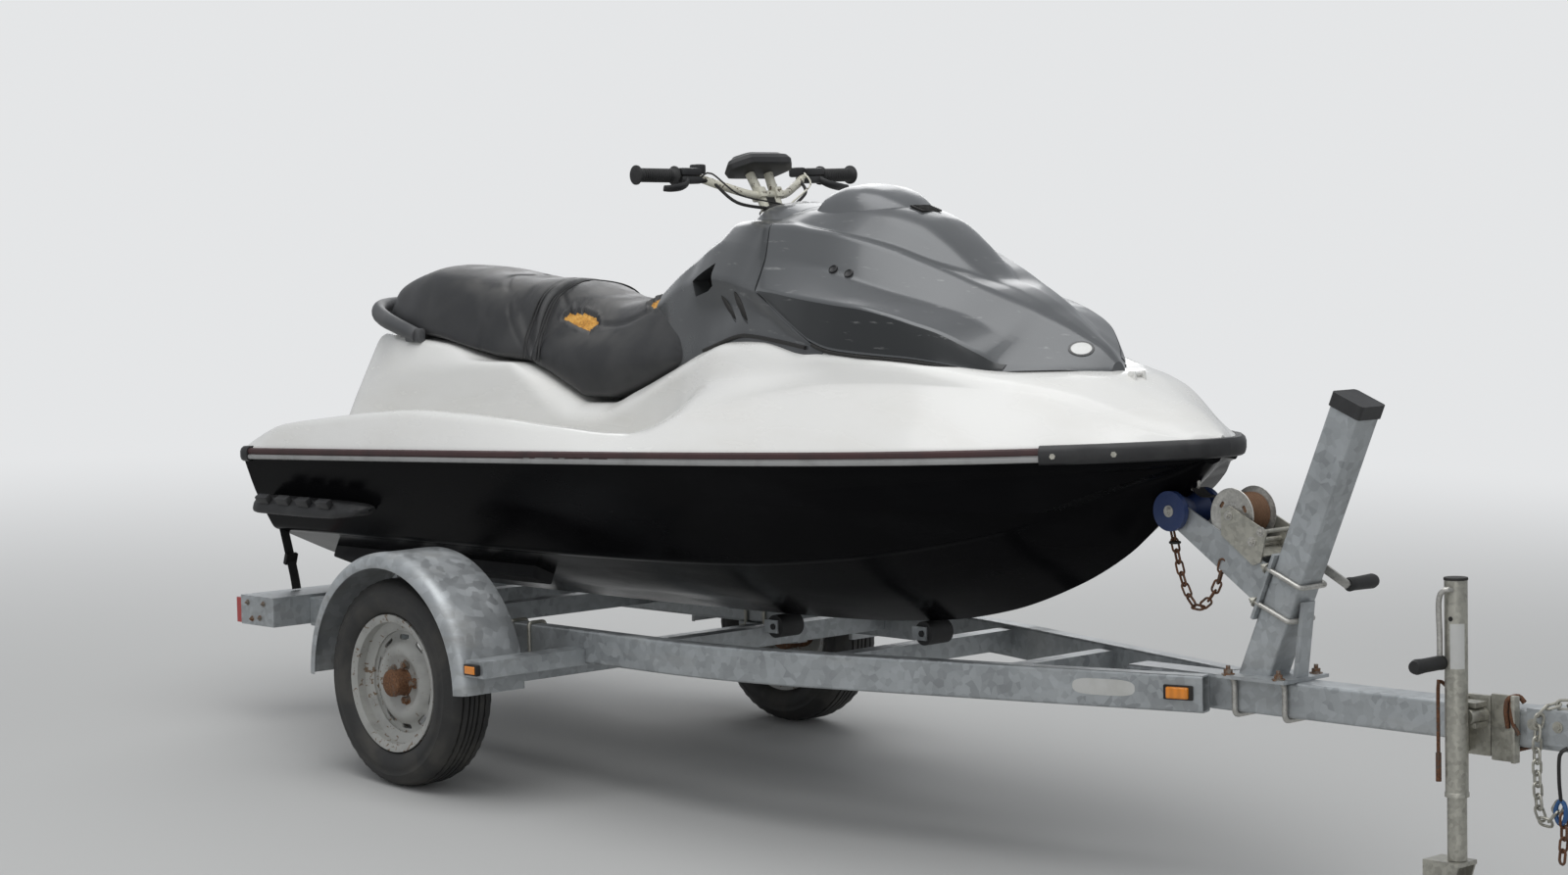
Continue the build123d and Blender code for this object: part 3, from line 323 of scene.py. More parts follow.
def tyreRubber(name):
    f = Finish(name)
    dust = f.step(f.noise(9, 6, distortion=0.4), 0.4, 0.72)
    fine = f.noise(160, 4)
    f.feed("Base Color", f.mix(dust * 0.55 + fine * 0.12, (0.018, 0.018, 0.018), (0.085, 0.08, 0.07)))
    f.feed("Roughness", dust * 0.2 + 0.6)
    f.bump(fine, 0.0007, 0.35)
    return f.done()


def lens(name, colour):
    f = Finish(name, Coat_Weight=0.8, Coat_Roughness=0.05)
    ribs = f.node("ShaderNodeTexWave", {"wave_type": "BANDS", "bands_direction": "Y"},
                  {"Vector": f.place, "Scale": 60.0, "Distortion": 0.0})
    film = f.noise(30, 5)
    f.feed("Base Color", f.mix(ribs * 0.35 + film * 0.25, colour, toned(colour, 0.55)))
    f.feed("Roughness", film * 0.2 + 0.12)
    f.bump(ribs, 0.0008, 0.5)
    return f.done()


def webbing(name, colour):
    f = Finish(name)
    rows = f.node("ShaderNodeTexWave", {"bands_direction": "Z"}, {"Vector": f.place, "Scale": 260.0})
    cross = f.node("ShaderNodeTexWave", {"bands_direction": "X"}, {"Vector": f.place, "Scale": 260.0})
    thread = tuple(c * 3 + 0.02 for c in colour)
    f.feed("Base Color", f.mix(rows * cross * 0.5 + f.noise(40, 5) * 0.3, colour, thread))
    f.feed("Roughness", rows * 0.15 + 0.7)
    f.bump(rows * cross, 0.0006, 0.6)
    return f.done()


steelTone = (0.38, 0.40, 0.41)
blackPlastic = plastic("blackPlastic", (0.016, 0.016, 0.017), (0.05, 0.05, 0.05))
finishes = {
    "hull": gelcoat("blackGelcoat", (0.0035, 0.0035, 0.004), (0.009, 0.009, 0.010), 0.16, coat=0.0, specular=0.035),
    "deck": gelcoat("whiteGelcoat", (0.78, 0.775, 0.75), (0.68, 0.665, 0.62), 0.2, coat=0.25, specular=0.35),
    "hood": greyMoulding("greyMoulding", (0.115, 0.12, 0.124), 0.3),
    "hood_sides": greyMoulding("darkGreyMoulding", (0.026, 0.028, 0.029), 0.25),
    "console": greyMoulding("consoleMoulding", (0.085, 0.089, 0.092), 0.3),
    "dash": greyMoulding("dashMoulding", (0.16, 0.165, 0.17), 0.3),
    "dome": greyMoulding("domeMoulding", (0.14, 0.145, 0.15), 0.3),
    "badge": plastic("badgePlate", (0.75, 0.75, 0.73), (0.6, 0.6, 0.57), 0.3, 300),
    "badgeRim": plastic("badgeEdge", (0.08, 0.08, 0.08), (0.2, 0.2, 0.2), 0.3, 300),
    "rub_rail": plastic("railExtrusion", (0.10, 0.10, 0.10), (0.2, 0.2, 0.19)),
    "bumpers": blackPlastic, "sponsons": blackPlastic, "switches": blackPlastic, "post_cap": blackPlastic,
    "grab_handle": plastic("handleMoulding", (0.07, 0.072, 0.075), (0.13, 0.13, 0.13)),
    "seat": vinyl("seatVinyl", (0.022, 0.0225, 0.024), (0.06, 0.06, 0.06)),
    "foam": foam("seatFoam"),
    "welt": plastic("seatWelt", (0.012, 0.012, 0.012), (0.045, 0.045, 0.045), 0.5),
    "railStripe": plastic("railStripe", (0.055, 0.022, 0.022), (0.03, 0.02, 0.02), 0.5),
    "railSilver": plastic("railSilver", (0.34, 0.34, 0.335), (0.2, 0.2, 0.19), 0.42, 400),
    # near-black rubber for seals, boots and cables; also painted shade lining the console pockets and scoops
    "seal": plastic("seamSeal", (0.008, 0.007, 0.006), (0.03, 0.028, 0.025), 0.6),
    "grips": plastic("gripRubber", (0.014, 0.014, 0.014), (0.04, 0.04, 0.04), 0.6),
    "bar_pad": plastic("padRubber", (0.02, 0.02, 0.021), (0.05, 0.05, 0.05), 0.5),
    "handlebar": chippedPaint("creamPaint", (0.62, 0.60, 0.50), (0.10, 0.075, 0.05), 0.35),
    "galvanised": galvanised("galvanisedSteel", steelTone),
    "fender": galvanised("fenderSteel", (0.42, 0.44, 0.45), 0.75, 42.0),
    "zinc": galvanised("zincPlate", (0.42, 0.41, 0.36), 0.6, 120.0, 0.75),
    "cast": galvanised("castAluminium", (0.2, 0.2, 0.2), 0.5, 160.0, 0.6),
    "tyre": tyreRubber("tyreRubber"),
    "rim": chippedPaint("rimPaint", (0.36, 0.36, 0.34), (0.16, 0.11, 0.07), 0.3),
    "hub": rustyIron("rustyHub", (0.22, 0.2, 0.18), (0.16, 0.075, 0.035), 0.75),
    "red": lens("redLens", (0.5, 0.02, 0.015)),
    "amber": lens("amberLens", (0.85, 0.27, 0.01)),
    "blue": plastic("blueRoller", (0.012, 0.03, 0.11), (0.04, 0.06, 0.13), 0.4),
    "webbing": webbing("blackWebbing", (0.012, 0.012, 0.012)),
    "rust": rustyIron("rustyChain", (0.10, 0.085, 0.07), (0.13, 0.055, 0.025), 0.62),
    "rustBolt": rustyIron("rustyBolts", (0.30, 0.28, 0.25), (0.17, 0.08, 0.035), 0.45),
    "brightSteel": galvanised("brightSteel", (0.5, 0.49, 0.46), 0.5, 200.0, 0.85),
    "wound": webbing("woundStrap", (0.12, 0.065, 0.035)),
    "carabiner": chippedPaint("blueCarabiner", (0.01, 0.075, 0.22), (0.3, 0.3, 0.3), 0.2),
    "label": plastic("blankLabel", (0.55, 0.55, 0.53), (0.42, 0.42, 0.39), 0.4, 300),
    "carpet": plastic("bunkCarpet", (0.02, 0.02, 0.022), (0.05, 0.05, 0.05), 0.9, 500, 0.002),
}
wears = {  # the finish of each node that isn't galvanised or named like its finish
    "gauge_dome": "hood", "seat_rear": "seat", "seat_front": "seat", "fender_left": "fender",
    "fender_right": "fender", "winch_frame": "zinc", "winch_drum": "zinc", "jack_outer": "zinc",
    "jack_inner": "zinc", "jack_fork": "zinc", "jockey_wheel": "tyre", "pump_housing": "cast",
    "steer_nozzle": "cast", "ride_plate": "cast", "engine": "cast", "tyre_left": "tyre", "tyre_right": "tyre",
    "rim_left": "rim", "rim_right": "rim", "hub_left": "hub", "hub_right": "hub", "rear_lamps": "red",
    "side_markers": "amber", "bow_roller": "blue", "keel_rollers": "grips", "bunks": "carpet",
    "hood_hinge": "deck",
}
for name, thing in nodes.items():
    thing.data.materials.clear()
    thing.data.materials.append(finishes.get(wears.get(name, name), finishes["galvanised"]))
print("finishes on")

# Shapes that many pieces share, in millimetres


def facing(origin, ahead, side=(1, 0, 0)):
    z = Vector(ahead).normalized()
    x = Vector(side) - z * Vector(side).dot(z)
    if x.length < 0.01:
        x = Vector((0, 1, 0)) - z * z.y
    x.normalize()
    return Matrix.Translation(origin) @ Matrix((x, z.cross(x), z)).transposed().to_4x4()


def woven(rings, closed=False):
    mesh = bmesh.new()
    loops = [[mesh.verts.new(spot) for spot in ring] for ring in rings]
    for a, b in zip(loops, loops[1:] + loops[:1] if closed else loops[1:]):
        for i in range(len(a)):
            j = (i + 1) % len(a)
            mesh.faces.new((a[i], a[j], b[j], b[i]))
    if not closed:
        mesh.faces.new(loops[0])
        mesh.faces.new(loops[-1])
    bmesh.ops.recalc_face_normals(mesh, faces=mesh.faces)
    return mesh


def block(size, bevel=0.0, segments=2):
    mesh = bmesh.new()
    bmesh.ops.create_cube(mesh, size=1)
    for spot in mesh.verts:
        spot.co *= Vector(size)
    if bevel:
        bmesh.ops.bevel(mesh, geom=mesh.edges[:], offset=bevel, segments=segments, profile=0.6, affect="EDGES",
                        clamp_overlap=True)
    return mesh


def lathe(profile, steps=32, sweep=360):
    mesh = bmesh.new()
    whole = sweep == 360
    rings = []
    for radius, rise in profile:
        if radius < 0.01:
            rings.append([mesh.verts.new((0, 0, rise))])
            continue
        turns = [math.radians(sweep * k / steps) for k in range(steps + (not whole))]
        rings.append([mesh.verts.new((radius * math.cos(t), radius * math.sin(t), rise)) for t in turns])
    joined = list(zip(rings, rings[1:]))
    if len(rings[0]) > 1 and len(rings[-1]) > 1:
        joined.append((rings[-1], rings[0]))
    for a, b in joined:
        for i in range(steps if len(a) + len(b) > 2 else 0):
            j = (i + 1) % steps if whole else i + 1
            first = [a[i], a[j]] if len(a) > 1 else [a[0]]
            mesh.faces.new(first + ([b[j], b[i]] if len(b) > 1 else [b[0]]))
    if not whole:
        mesh.faces.new([ring[0] for ring in rings])
        mesh.faces.new([ring[-1] for ring in rings])
    bmesh.ops.recalc_face_normals(mesh, faces=mesh.faces)
    return mesh


def smoothed(points, pitch=6.0):
    spots = [Vector(p) for p in points]
    spots = [spots[0] * 2 - spots[1], *spots, spots[-1] * 2 - spots[-2]]
    line = []
    for a, b, c, d in zip(spots, spots[1:], spots[2:], spots[3:]):
        count = max(2, round((c - b).length / pitch))
        for k in range(count):
            t = k / count
            line.append(0.5 * (2 * b + (c - a) * t + (2 * a - 5 * b + 4 * c - d) * t * t
                               + (3 * b - a - 3 * c + d) * t ** 3))
    return line + [spots[-2]]


def bothSides(points):
    return [*points, *((x, -y, z) for x, y, z in reversed(points[:-1]))]


def tube(points, radius, sides=12, flat=1.0, loop=False):
    spots = [Vector(p) for p in points]
    count = len(spots)
    radii = radius if isinstance(radius, list) else [radius] * count
    normal = None
    rings = []
    for i, spot in enumerate(spots):
        before = spots[i - 1] if i or loop else spots[0]
        after = spots[(i + 1) % count] if i < count - 1 or loop else spots[-1]
        ahead = (after - before).normalized()
        if normal is None:
            normal = ahead.orthogonal().normalized() if abs(ahead.z) > 0.9 else Vector((0, 0, 1))
        normal = (normal - ahead * normal.dot(ahead)).normalized()
        across = ahead.cross(normal)
        rings.append([spot + (normal * math.cos(t) * flat + across * math.sin(t)) * radii[i]
                      for t in (2 * math.pi * k / sides for k in range(sides))])
    return woven(rings, loop)


class Piece:
    def __init__(self, name, *finishNames):
        self.name = name
        self.finishes = [finishes[n] for n in finishNames]
        self.mesh = bmesh.new()

    def add(self, mesh, place=None, finish=0):
        data = bpy.data.meshes.new("loose")
        mesh.to_mesh(data)
        mesh.free()
        if place:
            data.transform(place)
        known = len(self.mesh.faces)
        self.mesh.from_mesh(data)
        bpy.data.meshes.remove(data)
        self.mesh.faces.ensure_lookup_table()
        for face in self.mesh.faces[known:]:
            face.material_index = finish
        return self

    def done(self, body, *replaced, slot=None, sharp=35.0):
        thing = landed(self.name, self.mesh, self.finishes, sharp)
        if replaced:
            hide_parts(*replaced)
        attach(thing, body)
        return thing


# What repeats is grown by Geometry Nodes


class Growth(Tree):
    def __init__(self, name, inputs):
        super().__init__(bpy.data.node_groups.new(name, "GeometryNodeTree"))
        sockets = self.tree.interface
        sockets.new_socket("Geometry", in_out="INPUT", socket_type="NodeSocketGeometry")
        for label, kind, value in inputs:
            sockets.new_socket(label, in_out="INPUT", socket_type="NodeSocket" + kind).default_value = value
        sockets.new_socket("Material", in_out="INPUT", socket_type="NodeSocketMaterial")
        sockets.new_socket("Geometry", in_out="OUTPUT", socket_type="NodeSocketGeometry")
        self.entry = self.tree.nodes.new("NodeGroupInput")

    def given(self, label):
        return Wire(self.tree, self.entry.outputs[label])

    def joined(self, *parts):
        node = self.tree.nodes.new("GeometryNodeJoinGeometry")
        for part in reversed(parts):
            self.tree.links.new(part.socket, node.inputs[0])
        return Wire(self.tree, node.outputs[0])

    def ended(self, grown):
        real = self.node("GeometryNodeRealizeInstances", {}, {"Geometry": grown})
        dressed = self.node("GeometryNodeSetMaterial", {}, {"Geometry": real, "Material": self.given("Material")})
        out = self.tree.nodes.new("NodeGroupOutput")
        self.tree.links.new(dressed.socket, out.inputs[0])
        return self.tree


def grown(name, mesh, tree, finish, body, slot, sharp=35.0, **values):
    thing = bpy.data.objects.new(name, mesh)
    bpy.context.collection.objects.link(thing)
    modifier = thing.modifiers.new("growth", "NODES")
    modifier.node_group = tree
    wanted = {**values, "Material": finishes[finish]}
    for item in tree.interface.items_tree:
        if item.item_type == "SOCKET" and item.in_out == "INPUT" and item.name in wanted:
            modifier[item.identifier] = wanted[item.name]
    applied(thing)
    thing.data.shade_smooth()
    thing.data.set_sharp_from_angle(angle=math.radians(sharp))
    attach(thing, body)
    return thing


def boltTree():
    g = Growth("hexBolts", [("Across", "Float", 0.008), ("Head", "Float", 0.006), ("Washer", "Float", 0.0015),
                            ("Shank", "Float", 0.004), ("Seed", "Int", 3)])
    across, head, washer, shank = (g.given(k) for k in ("Across", "Head", "Washer", "Shank"))

    def rod(radius, depth, sides, middle):
        disc = g.node("GeometryNodeMeshCylinder", {}, {"Vertices": sides, "Radius": radius, "Depth": depth})
        lift = g.node("ShaderNodeCombineXYZ", {}, {"Z": middle})
        return g.node("GeometryNodeTransform", {}, {"Geometry": disc, "Translation": lift})

    whole = g.joined(rod(across * 1.5, washer * 2, 20, 0.0), rod(across, head, 6, washer + head * 0.5),
                     rod(across * 0.5, shank, 12, washer + head + shank * 0.5))
    aim = g.node("GeometryNodeInputNamedAttribute", {"data_type": "FLOAT_VECTOR"}, {"Name": "facing"})
    turn = g.node("FunctionNodeAlignRotationToVector", {"axis": "Z"}, {"Vector": aim})
    placed = g.node("GeometryNodeInstanceOnPoints", {},
                    {"Points": g.given("Geometry"), "Instance": whole, "Rotation": turn})
    spin = g.node("FunctionNodeRandomValue", {"data_type": "FLOAT"}, {2: 0.0, 3: 1.05, "Seed": g.given("Seed")}, 1)
    twist = g.node("ShaderNodeCombineXYZ", {}, {"Z": spin})
    return g.ended(g.node("GeometryNodeRotateInstances", {}, {"Instances": placed, "Rotation": twist}))


def chainTree():
    g = Growth("chainLinks", [("Pitch", "Float", 0.018), ("Wide", "Float", 0.016), ("Wire", "Float", 0.0025)])
    pitch, wide, wire = (g.given(k) for k in ("Pitch", "Wide", "Wire"))
    line = g.node("GeometryNodeMeshToCurve", {}, {"Mesh": g.given("Geometry")})
    spaced = g.node("GeometryNodeResampleCurve", {"mode": "LENGTH"}, {"Curve": line, "Length": pitch})
    frame = g.node("GeometryNodeCurvePrimitiveQuadrilateral", {"mode": "RECTANGLE"},
                   {"Width": pitch + wire * 3, "Height": wide})
    oval = g.node("GeometryNodeFilletCurve", {"mode": "POLY"}, {"Curve": frame, "Count": 4, "Radius": wide * 0.49})
    ring = g.node("GeometryNodeCurvePrimitiveCircle", {"mode": "RADIUS"}, {"Resolution": 6, "Radius": wire})
    link = g.node("GeometryNodeCurveToMesh", {}, {"Curve": oval, "Profile Curve": ring})
    turn = g.node("FunctionNodeAlignRotationToVector", {"axis": "X"}, {"Vector": g.node("GeometryNodeInputTangent")})
    placed = g.node("GeometryNodeInstanceOnPoints", {}, {"Points": spaced, "Instance": link, "Rotation": turn})
    odd = g.node("ShaderNodeMath", {"operation": "MODULO"}, {0: g.node("GeometryNodeInputIndex"), 1: 2.0})
    roll = g.node("ShaderNodeCombineXYZ", {}, {"X": odd * (math.pi / 2) + 0.4})
    return g.ended(g.node("GeometryNodeRotateInstances", {}, {"Instances": placed, "Rotation": roll}))


bolts, chains = boltTree(), chainTree()


def makeBolts(name, spots, across, body, slot, finish="zinc", head=5.0, washer=1.5, shank=4.0, seed=3):
    mesh = bpy.data.meshes.new(name)
    mesh.from_pydata([parked(*spot[:3]) for spot in spots], [], [])
    aim = mesh.attributes.new("facing", "FLOAT_VECTOR", "POINT")
    for row, spot in zip(aim.data, spots):
        row.vector = (park.to_3x3() @ Vector(spot[3:])).normalized()
    return grown(name, mesh, bolts, finish, body, slot, Across=across / 1000, Head=head / 1000, Washer=washer / 1000,
                 Shank=shank / 1000, Seed=seed)


def makeChain(name, points, body, slot, finish, pitch=18.0, wide=16.0, wire=2.6):
    line = smoothed(points, 8)
    mesh = bpy.data.meshes.new(name)
    mesh.from_pydata([parked(*p) for p in line], [(i, i + 1) for i in range(len(line) - 1)], [])
    return grown(name, mesh, chains, finish, body, slot, Pitch=pitch / 1000, Wide=wide / 1000, Wire=wire / 1000)


print("growing tools ready")
# Smooth bodywork from short tables of cross-sections


def fair(rows, pitch=14.0):
    columns = []
    for k in range(1, len(rows[0])):
        rises = [(b[k] - a[k]) / (b[0] - a[0]) for a, b in zip(rows, rows[1:])]
        inner = [0 if a * b <= 0 else 2 * a * b / (a + b) for a, b in zip(rises, rises[1:])]
        columns.append([rises[0], *inner, rises[-1]])
    dense = []
    for i, (a, b) in enumerate(zip(rows, rows[1:])):
        span = b[0] - a[0]
        count = max(1, round(span / pitch))
        for j in range(count):
            t = j / count
            rise, leave, arrive = t * t * (3 - 2 * t), t * (1 - t) ** 2, t * t * (t - 1)
            dense.append([a[0] + span * t] + [a[k + 1] + (b[k + 1] - a[k + 1]) * rise
                                              + span * (leave * c[i] + arrive * c[i + 1])
                                              for k, c in enumerate(columns)])
    return dense + [list(rows[-1])]


def along(rows, x):
    for a, b in zip(rows, rows[1:]):
        if x <= b[0]:
            share = min(max((x - a[0]) / (b[0] - a[0]), 0), 1)
            return [p + (q - p) * share for p, q in zip(a, b)]
    return list(rows[-1])


def pairs(values):
    return list(zip(values[::2], values[1::2]))


def roundedLine(points, radii, steps=4):
    line = []
    for i, (point, radius) in enumerate(zip(points, radii)):
        if not radius:
            line.append(tuple(point))
            continue
        here = Vector(point)
        ends = []
        for other in (points[i - 1], points[i + 1]):
            leg = Vector(other) - here
            ends.append(here + leg.normalized() * min(radius, 0.48 * leg.length))
        for k in range(steps + 1):
            t = k / steps
            line.append(tuple(ends[0] * (1 - t) ** 2 + here * 2 * t * (1 - t) + ends[1] * t * t))
    return line


seamLine = {"stern": -1040, "height": 807, "slope": math.tan(math.radians(1.81))}


def sheer(x):
    return seamLine["height"] + (x - seamLine["stern"]) * seamLine["slope"]


def landed(name, mesh, finish, sharp=32.0):
    data = bpy.data.meshes.new(name)
    mesh.to_mesh(data)
    mesh.free()
    data.transform(park)
    for one in (finish if isinstance(finish, list) else [finish]):
        data.materials.append(one)
    data.shade_smooth()
    data.set_sharp_from_angle(angle=math.radians(sharp))
    thing = bpy.data.objects.new(name, data)
    bpy.context.collection.objects.link(thing)
    return thing


def mirrored(half):
    return [*half, *((-y, z) for y, z in reversed(half) if y > 0.01)]


def ringMesh(stations):
    return woven([[(x, y, z) for y, z in mirrored(half)] for x, half in stations])


def skinMesh(stations):
    mesh = bmesh.new()
    rings = [[mesh.verts.new((x, y, z)) for y, z in mirrored(half)] for x, half in stations]
    for a, b in zip(rings, rings[1:]):
        for i in range(len(a) - 1):
            mesh.faces.new((a[i], b[i], b[i + 1], a[i + 1]))
    mesh.faces.new(rings[-1])
    bmesh.ops.recalc_face_normals(mesh, faces=mesh.faces)
    return mesh


def prismMesh(outline, low, high, across="Y"):
    mesh = bmesh.new()
    at = "XYZ".index(across)
    a, b = ([mesh.verts.new((*p[:at], height, *p[at:])) for p in outline] for height in (low, high))
    mesh.faces.new(a)
    mesh.faces.new(b)
    for i in range(len(a)):
        j = (i + 1) % len(a)
        mesh.faces.new((a[i], a[j], b[j], b[i]))
    bmesh.ops.recalc_face_normals(mesh, faces=mesh.faces)
    return mesh


def applied(thing):
    graph = bpy.context.evaluated_depsgraph_get()
    plain = bpy.data.meshes.new_from_object(thing.evaluated_get(graph), depsgraph=graph)
    thing.modifiers.clear()
    old = thing.data
    thing.data = plain
    plain.name = thing.name
    bpy.data.meshes.remove(old)
    return thing


def modified(thing, kind, **settings):
    modifier = thing.modifiers.new(kind.lower(), kind)
    for key, value in settings.items():
        setattr(modifier, key, value)
    return applied(thing)


def carved(thing, *cutters, way="DIFFERENCE", sharp=32.0):
    for mesh in cutters:
        cutter = landed("cutter", mesh, thing.data.materials[0])
        modified(thing, "BOOLEAN", operation=way, object=cutter, solver="EXACT")
        bpy.data.objects.remove(cutter)
    thing.data.shade_smooth()
    thing.data.set_sharp_from_angle(angle=math.radians(sharp))
    return thing


def roundedPlan(length, width, radius, middle, steps=8):
    spots = []
    for sx, sy, start in ((1, 1, 0), (-1, 1, 90), (-1, -1, 180), (1, -1, 270)):
        for k in range(steps + 1):
            turn = math.radians(start + 90 * k / steps)
            spots.append((middle[0] + sx * (length / 2 - radius) + radius * math.cos(turn),
                          middle[1] + sy * (width / 2 - radius) + radius * math.sin(turn)))
    return spots


hullShape = {
    "stations": [  # x, half beam, keel z, chine y, chine z
        (-1032, 520, 432, 425, 598), (-650, 538, 431, 434, 601), (-200, 550, 430, 441, 605),
        (300, 559, 431, 445, 608),
        (700, 559, 435, 440, 614), (1000, 551, 442, 424, 624), (1290, 525, 464, 385, 650), (1500, 487, 503, 338, 682),
        (1720, 415, 580, 266, 730), (1880, 330, 666, 190, 785), (2000, 240, 766, 122, 838), (2065, 172, 824, 76, 864),
        (2125, 92, 884, 30, 898)],
    "strake": 26 / 445, "drop": 8, "inside": 782, "belly": 9, "lean": 0.55,
    "pump": {"z": 520, "radius": 88, "start": -1080, "end": -560, "foot": 300},
    "bay": {"x": (-262, 382), "y": 192, "hull": (560, 900), "deck": (700, 912)},
    "bin": {"length": 420, "width": 340, "radius": 60, "middle": (1400, 0), "floor": 800, "top": 1300, "wall": 7},
}
hullStations = fair(hullShape["stations"], 22)


def hullRing(x, beam, keel, chineY, chineZ):
    s = hullShape
    seam = sheer(x)
    strake, lean = s["strake"] * chineY, s["lean"]
    inside = max(min(s["inside"], seam - 30), min(chineZ + 4, seam - 4))
    middle = ((beam - 6) * lean + chineY * (1 - lean) + s["belly"], (seam - 18) * lean + chineZ * (1 - lean))
    return roundedLine([(0, inside), (beam - 40, inside), (beam - 14, seam - 2), (beam, seam), (beam - 6, seam - 18),
                        middle, (chineY, chineZ), (chineY - strake, chineZ - s["drop"]),
                        (chineY * 0.5, keel + (chineZ - s["drop"] - keel) * 0.47), (0, keel)],
                       [0, 0, 0, 0, 6, 110, 16, 5, 60, 0], 3)


def bayMesh(bay, part):
    (back, front), half = bay["x"], bay["y"]
    return prismMesh([(back, -half), (front, -half), (front, half), (back, half)], *bay[part], "Z")


def binMesh(store, wall):
    return prismMesh(roundedPlan(store["length"] + 2 * wall, store["width"] + 2 * wall, store["radius"] + wall,
                                 store["middle"]), store["floor"] - wall, store["top"], "Z")


def makeHull(s):
    hull = landed("hullShell", ringMesh([(row[0], hullRing(*row)) for row in hullStations]), finishes["hull"], 40)
    pump = s["pump"]
    radius = pump["radius"]
    tunnel = [(radius * math.cos(math.radians(a)), pump["z"] + radius * math.sin(math.radians(a)))
              for a in range(0, 181, 10)] + [(-radius, pump["foot"]), (radius, pump["foot"])]
    carved(hull, prismMesh(tunnel, pump["start"], pump["end"], "X"), bayMesh(s["bay"], "hull"),
           binMesh(s["bin"], s["bin"]["wall"]), sharp=40)
    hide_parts("hull")
    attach(hull, "base")


makeHull(hullShape)
print("hull made")

deckShape = {
    "stations": [  # x, then y and z of the crest, lip, wall, foot, flank and rim, and the height at the centre
        (-1032, 470, 868, 440, 872, 400, 873, 300, 874, 150, 876, 80, 877, 877),
        (-960, 482, 893, 458, 888, 447, 850, 312, 848, 205, 850, 110, 852, 853),
        (-925, 484, 903, 461, 900, 445, 815, 315, 814, 212, 905, 120, 925, 928),
        (-880, 486, 912, 461, 910, 445, 812, 315, 812, 240, 950, 160, 1090, 1100),
        (-820, 488, 920, 461, 918, 445, 812, 315, 812, 262, 985, 165, 1160, 1166),
        (-650, 492, 938, 461, 936, 445, 812, 315, 812, 268, 1046, 222, 1152, 1158),
        (-450, 496, 957, 461, 955, 445, 812, 315, 812, 272, 1075, 234, 1138, 1144),
        (-200, 500, 970, 461, 968, 445, 812, 315, 812, 274, 1094, 240, 1092, 1096),
        (-100, 502, 968, 461, 966, 445, 812, 315, 812, 275, 1094, 243, 1090, 1090),
        (-30, 503, 966, 461, 964, 445, 812, 315, 812, 278, 1062, 244, 1075, 1076),
        (37, 503, 964, 461, 962, 445, 812, 315, 812, 282, 1020, 246, 1048, 1050),
        (120, 503, 960, 461, 957, 445, 812, 315, 812, 288, 975, 247, 1014, 1015),
        (200, 503, 955, 461, 953, 445, 812, 315, 812, 292, 955, 248, 988, 990),
        (300, 503, 948, 461, 946, 445, 812, 317, 812, 295, 958, 248, 990, 992),
        (420, 500, 942, 461, 940, 445, 812, 320, 812, 298, 990, 250, 1028, 1030),
        (560, 495, 935, 461, 933, 445, 815, 325, 818, 305, 1050, 255, 1080, 1082),
        (640, 491, 934, 461, 935, 440, 860, 332, 880, 312, 1085, 260, 1110, 1112),
        (700, 488, 940, 455, 950, 430, 945, 345, 975, 318, 1105, 265, 1132, 1134),
        (850, 471, 985, 445, 1005, 415, 1030, 375, 1060, 335, 1150, 300, 1160, 1162),
        (1000, 455, 1014, 440, 1040, 420, 1062, 395, 1085, 362, 1150, 340, 1163, 1165),
        (1150, 430, 1042, 422, 1062, 412, 1078, 400, 1095, 385, 1128, 365, 1148, 1150),
        (1290, 414, 1062, 410, 1074, 406, 1090, 402, 1106, 398, 1128, 386, 1144, 1147),
        (1400, 398, 1066, 395, 1078, 392, 1092, 389, 1106, 384, 1122, 372, 1135, 1137),
        (1500, 376, 1067, 373, 1078, 370, 1090, 367, 1101, 361, 1114, 347, 1126, 1128),
        (1600, 348, 1064, 345, 1073, 341, 1083, 336, 1092, 328, 1102, 310, 1111, 1113),
        (1720, 302, 1056, 297, 1062, 291, 1069, 284, 1076, 270, 1085, 246, 1093, 1095),
        (1800, 268, 1047, 261, 1053, 253, 1060, 243, 1068, 215, 1081, 150, 1092, 1095),
        (1880, 236, 1032, 228, 1038, 218, 1045, 205, 1053, 165, 1068, 100, 1082, 1088),
        (1940, 205, 1008, 197, 1014, 187, 1021, 173, 1030, 130, 1045, 78, 1056, 1061),
        (2000, 168, 980, 160, 986, 150, 992, 138, 999, 102, 1015, 60, 1028, 1034),
        (2065, 122, 957, 116, 962, 108, 968, 97, 974, 68, 988, 40, 1000, 1004),
        (2125, 70, 944, 65, 947, 59, 950, 51, 954, 37, 960, 22, 964, 966)],
    "radii": [26, 12, 14, 24, 30, 18], "low": 791, "rail": 32,
    "tip": {"x": 2156, "narrow": 16 / 92, "middle": 909, "flat": 0.75},
}


def deckRing(x, beam, values):
    s = deckShape
    seam = sheer(x) + 0.5
    chineY, chineZ = along(hullStations, x)[3:]
    low = max(min(s["low"], seam - 12), min(chineZ + 8, seam - 3))
    spots = pairs(values[:-1])
    rise = [(beam, seam), (beam - 3, seam + s["rail"]), *spots, (0, values[-1])]
    return roundedLine([(0, low), (min(beam - 60, chineY - 6), low), (beam - 16, seam), *rise],
                       [0, 0, 0, 0, 10, *s["radii"], 0], 5)


def makeDeck(s):
    rings = []
    for row in fair(s["stations"], 12):
        beam = along(hullStations, row[0])[1]
        rings.append((row[0], deckRing(row[0], beam, row[1:])))
    tip = s["tip"]
    rings.append((tip["x"], [(y * tip["narrow"], tip["middle"] + (z - tip["middle"]) * tip["flat"])
                             for y, z in rings[-1][1]]))
    deck = landed("deckShell", ringMesh(rings), finishes["deck"], 36)
    carved(deck, bayMesh(hullShape["bay"], "deck"), binMesh(hullShape["bin"], 0), sharp=36)
    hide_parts("deck")
    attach(deck, "base")


makeDeck(deckShape)
print("deck made")

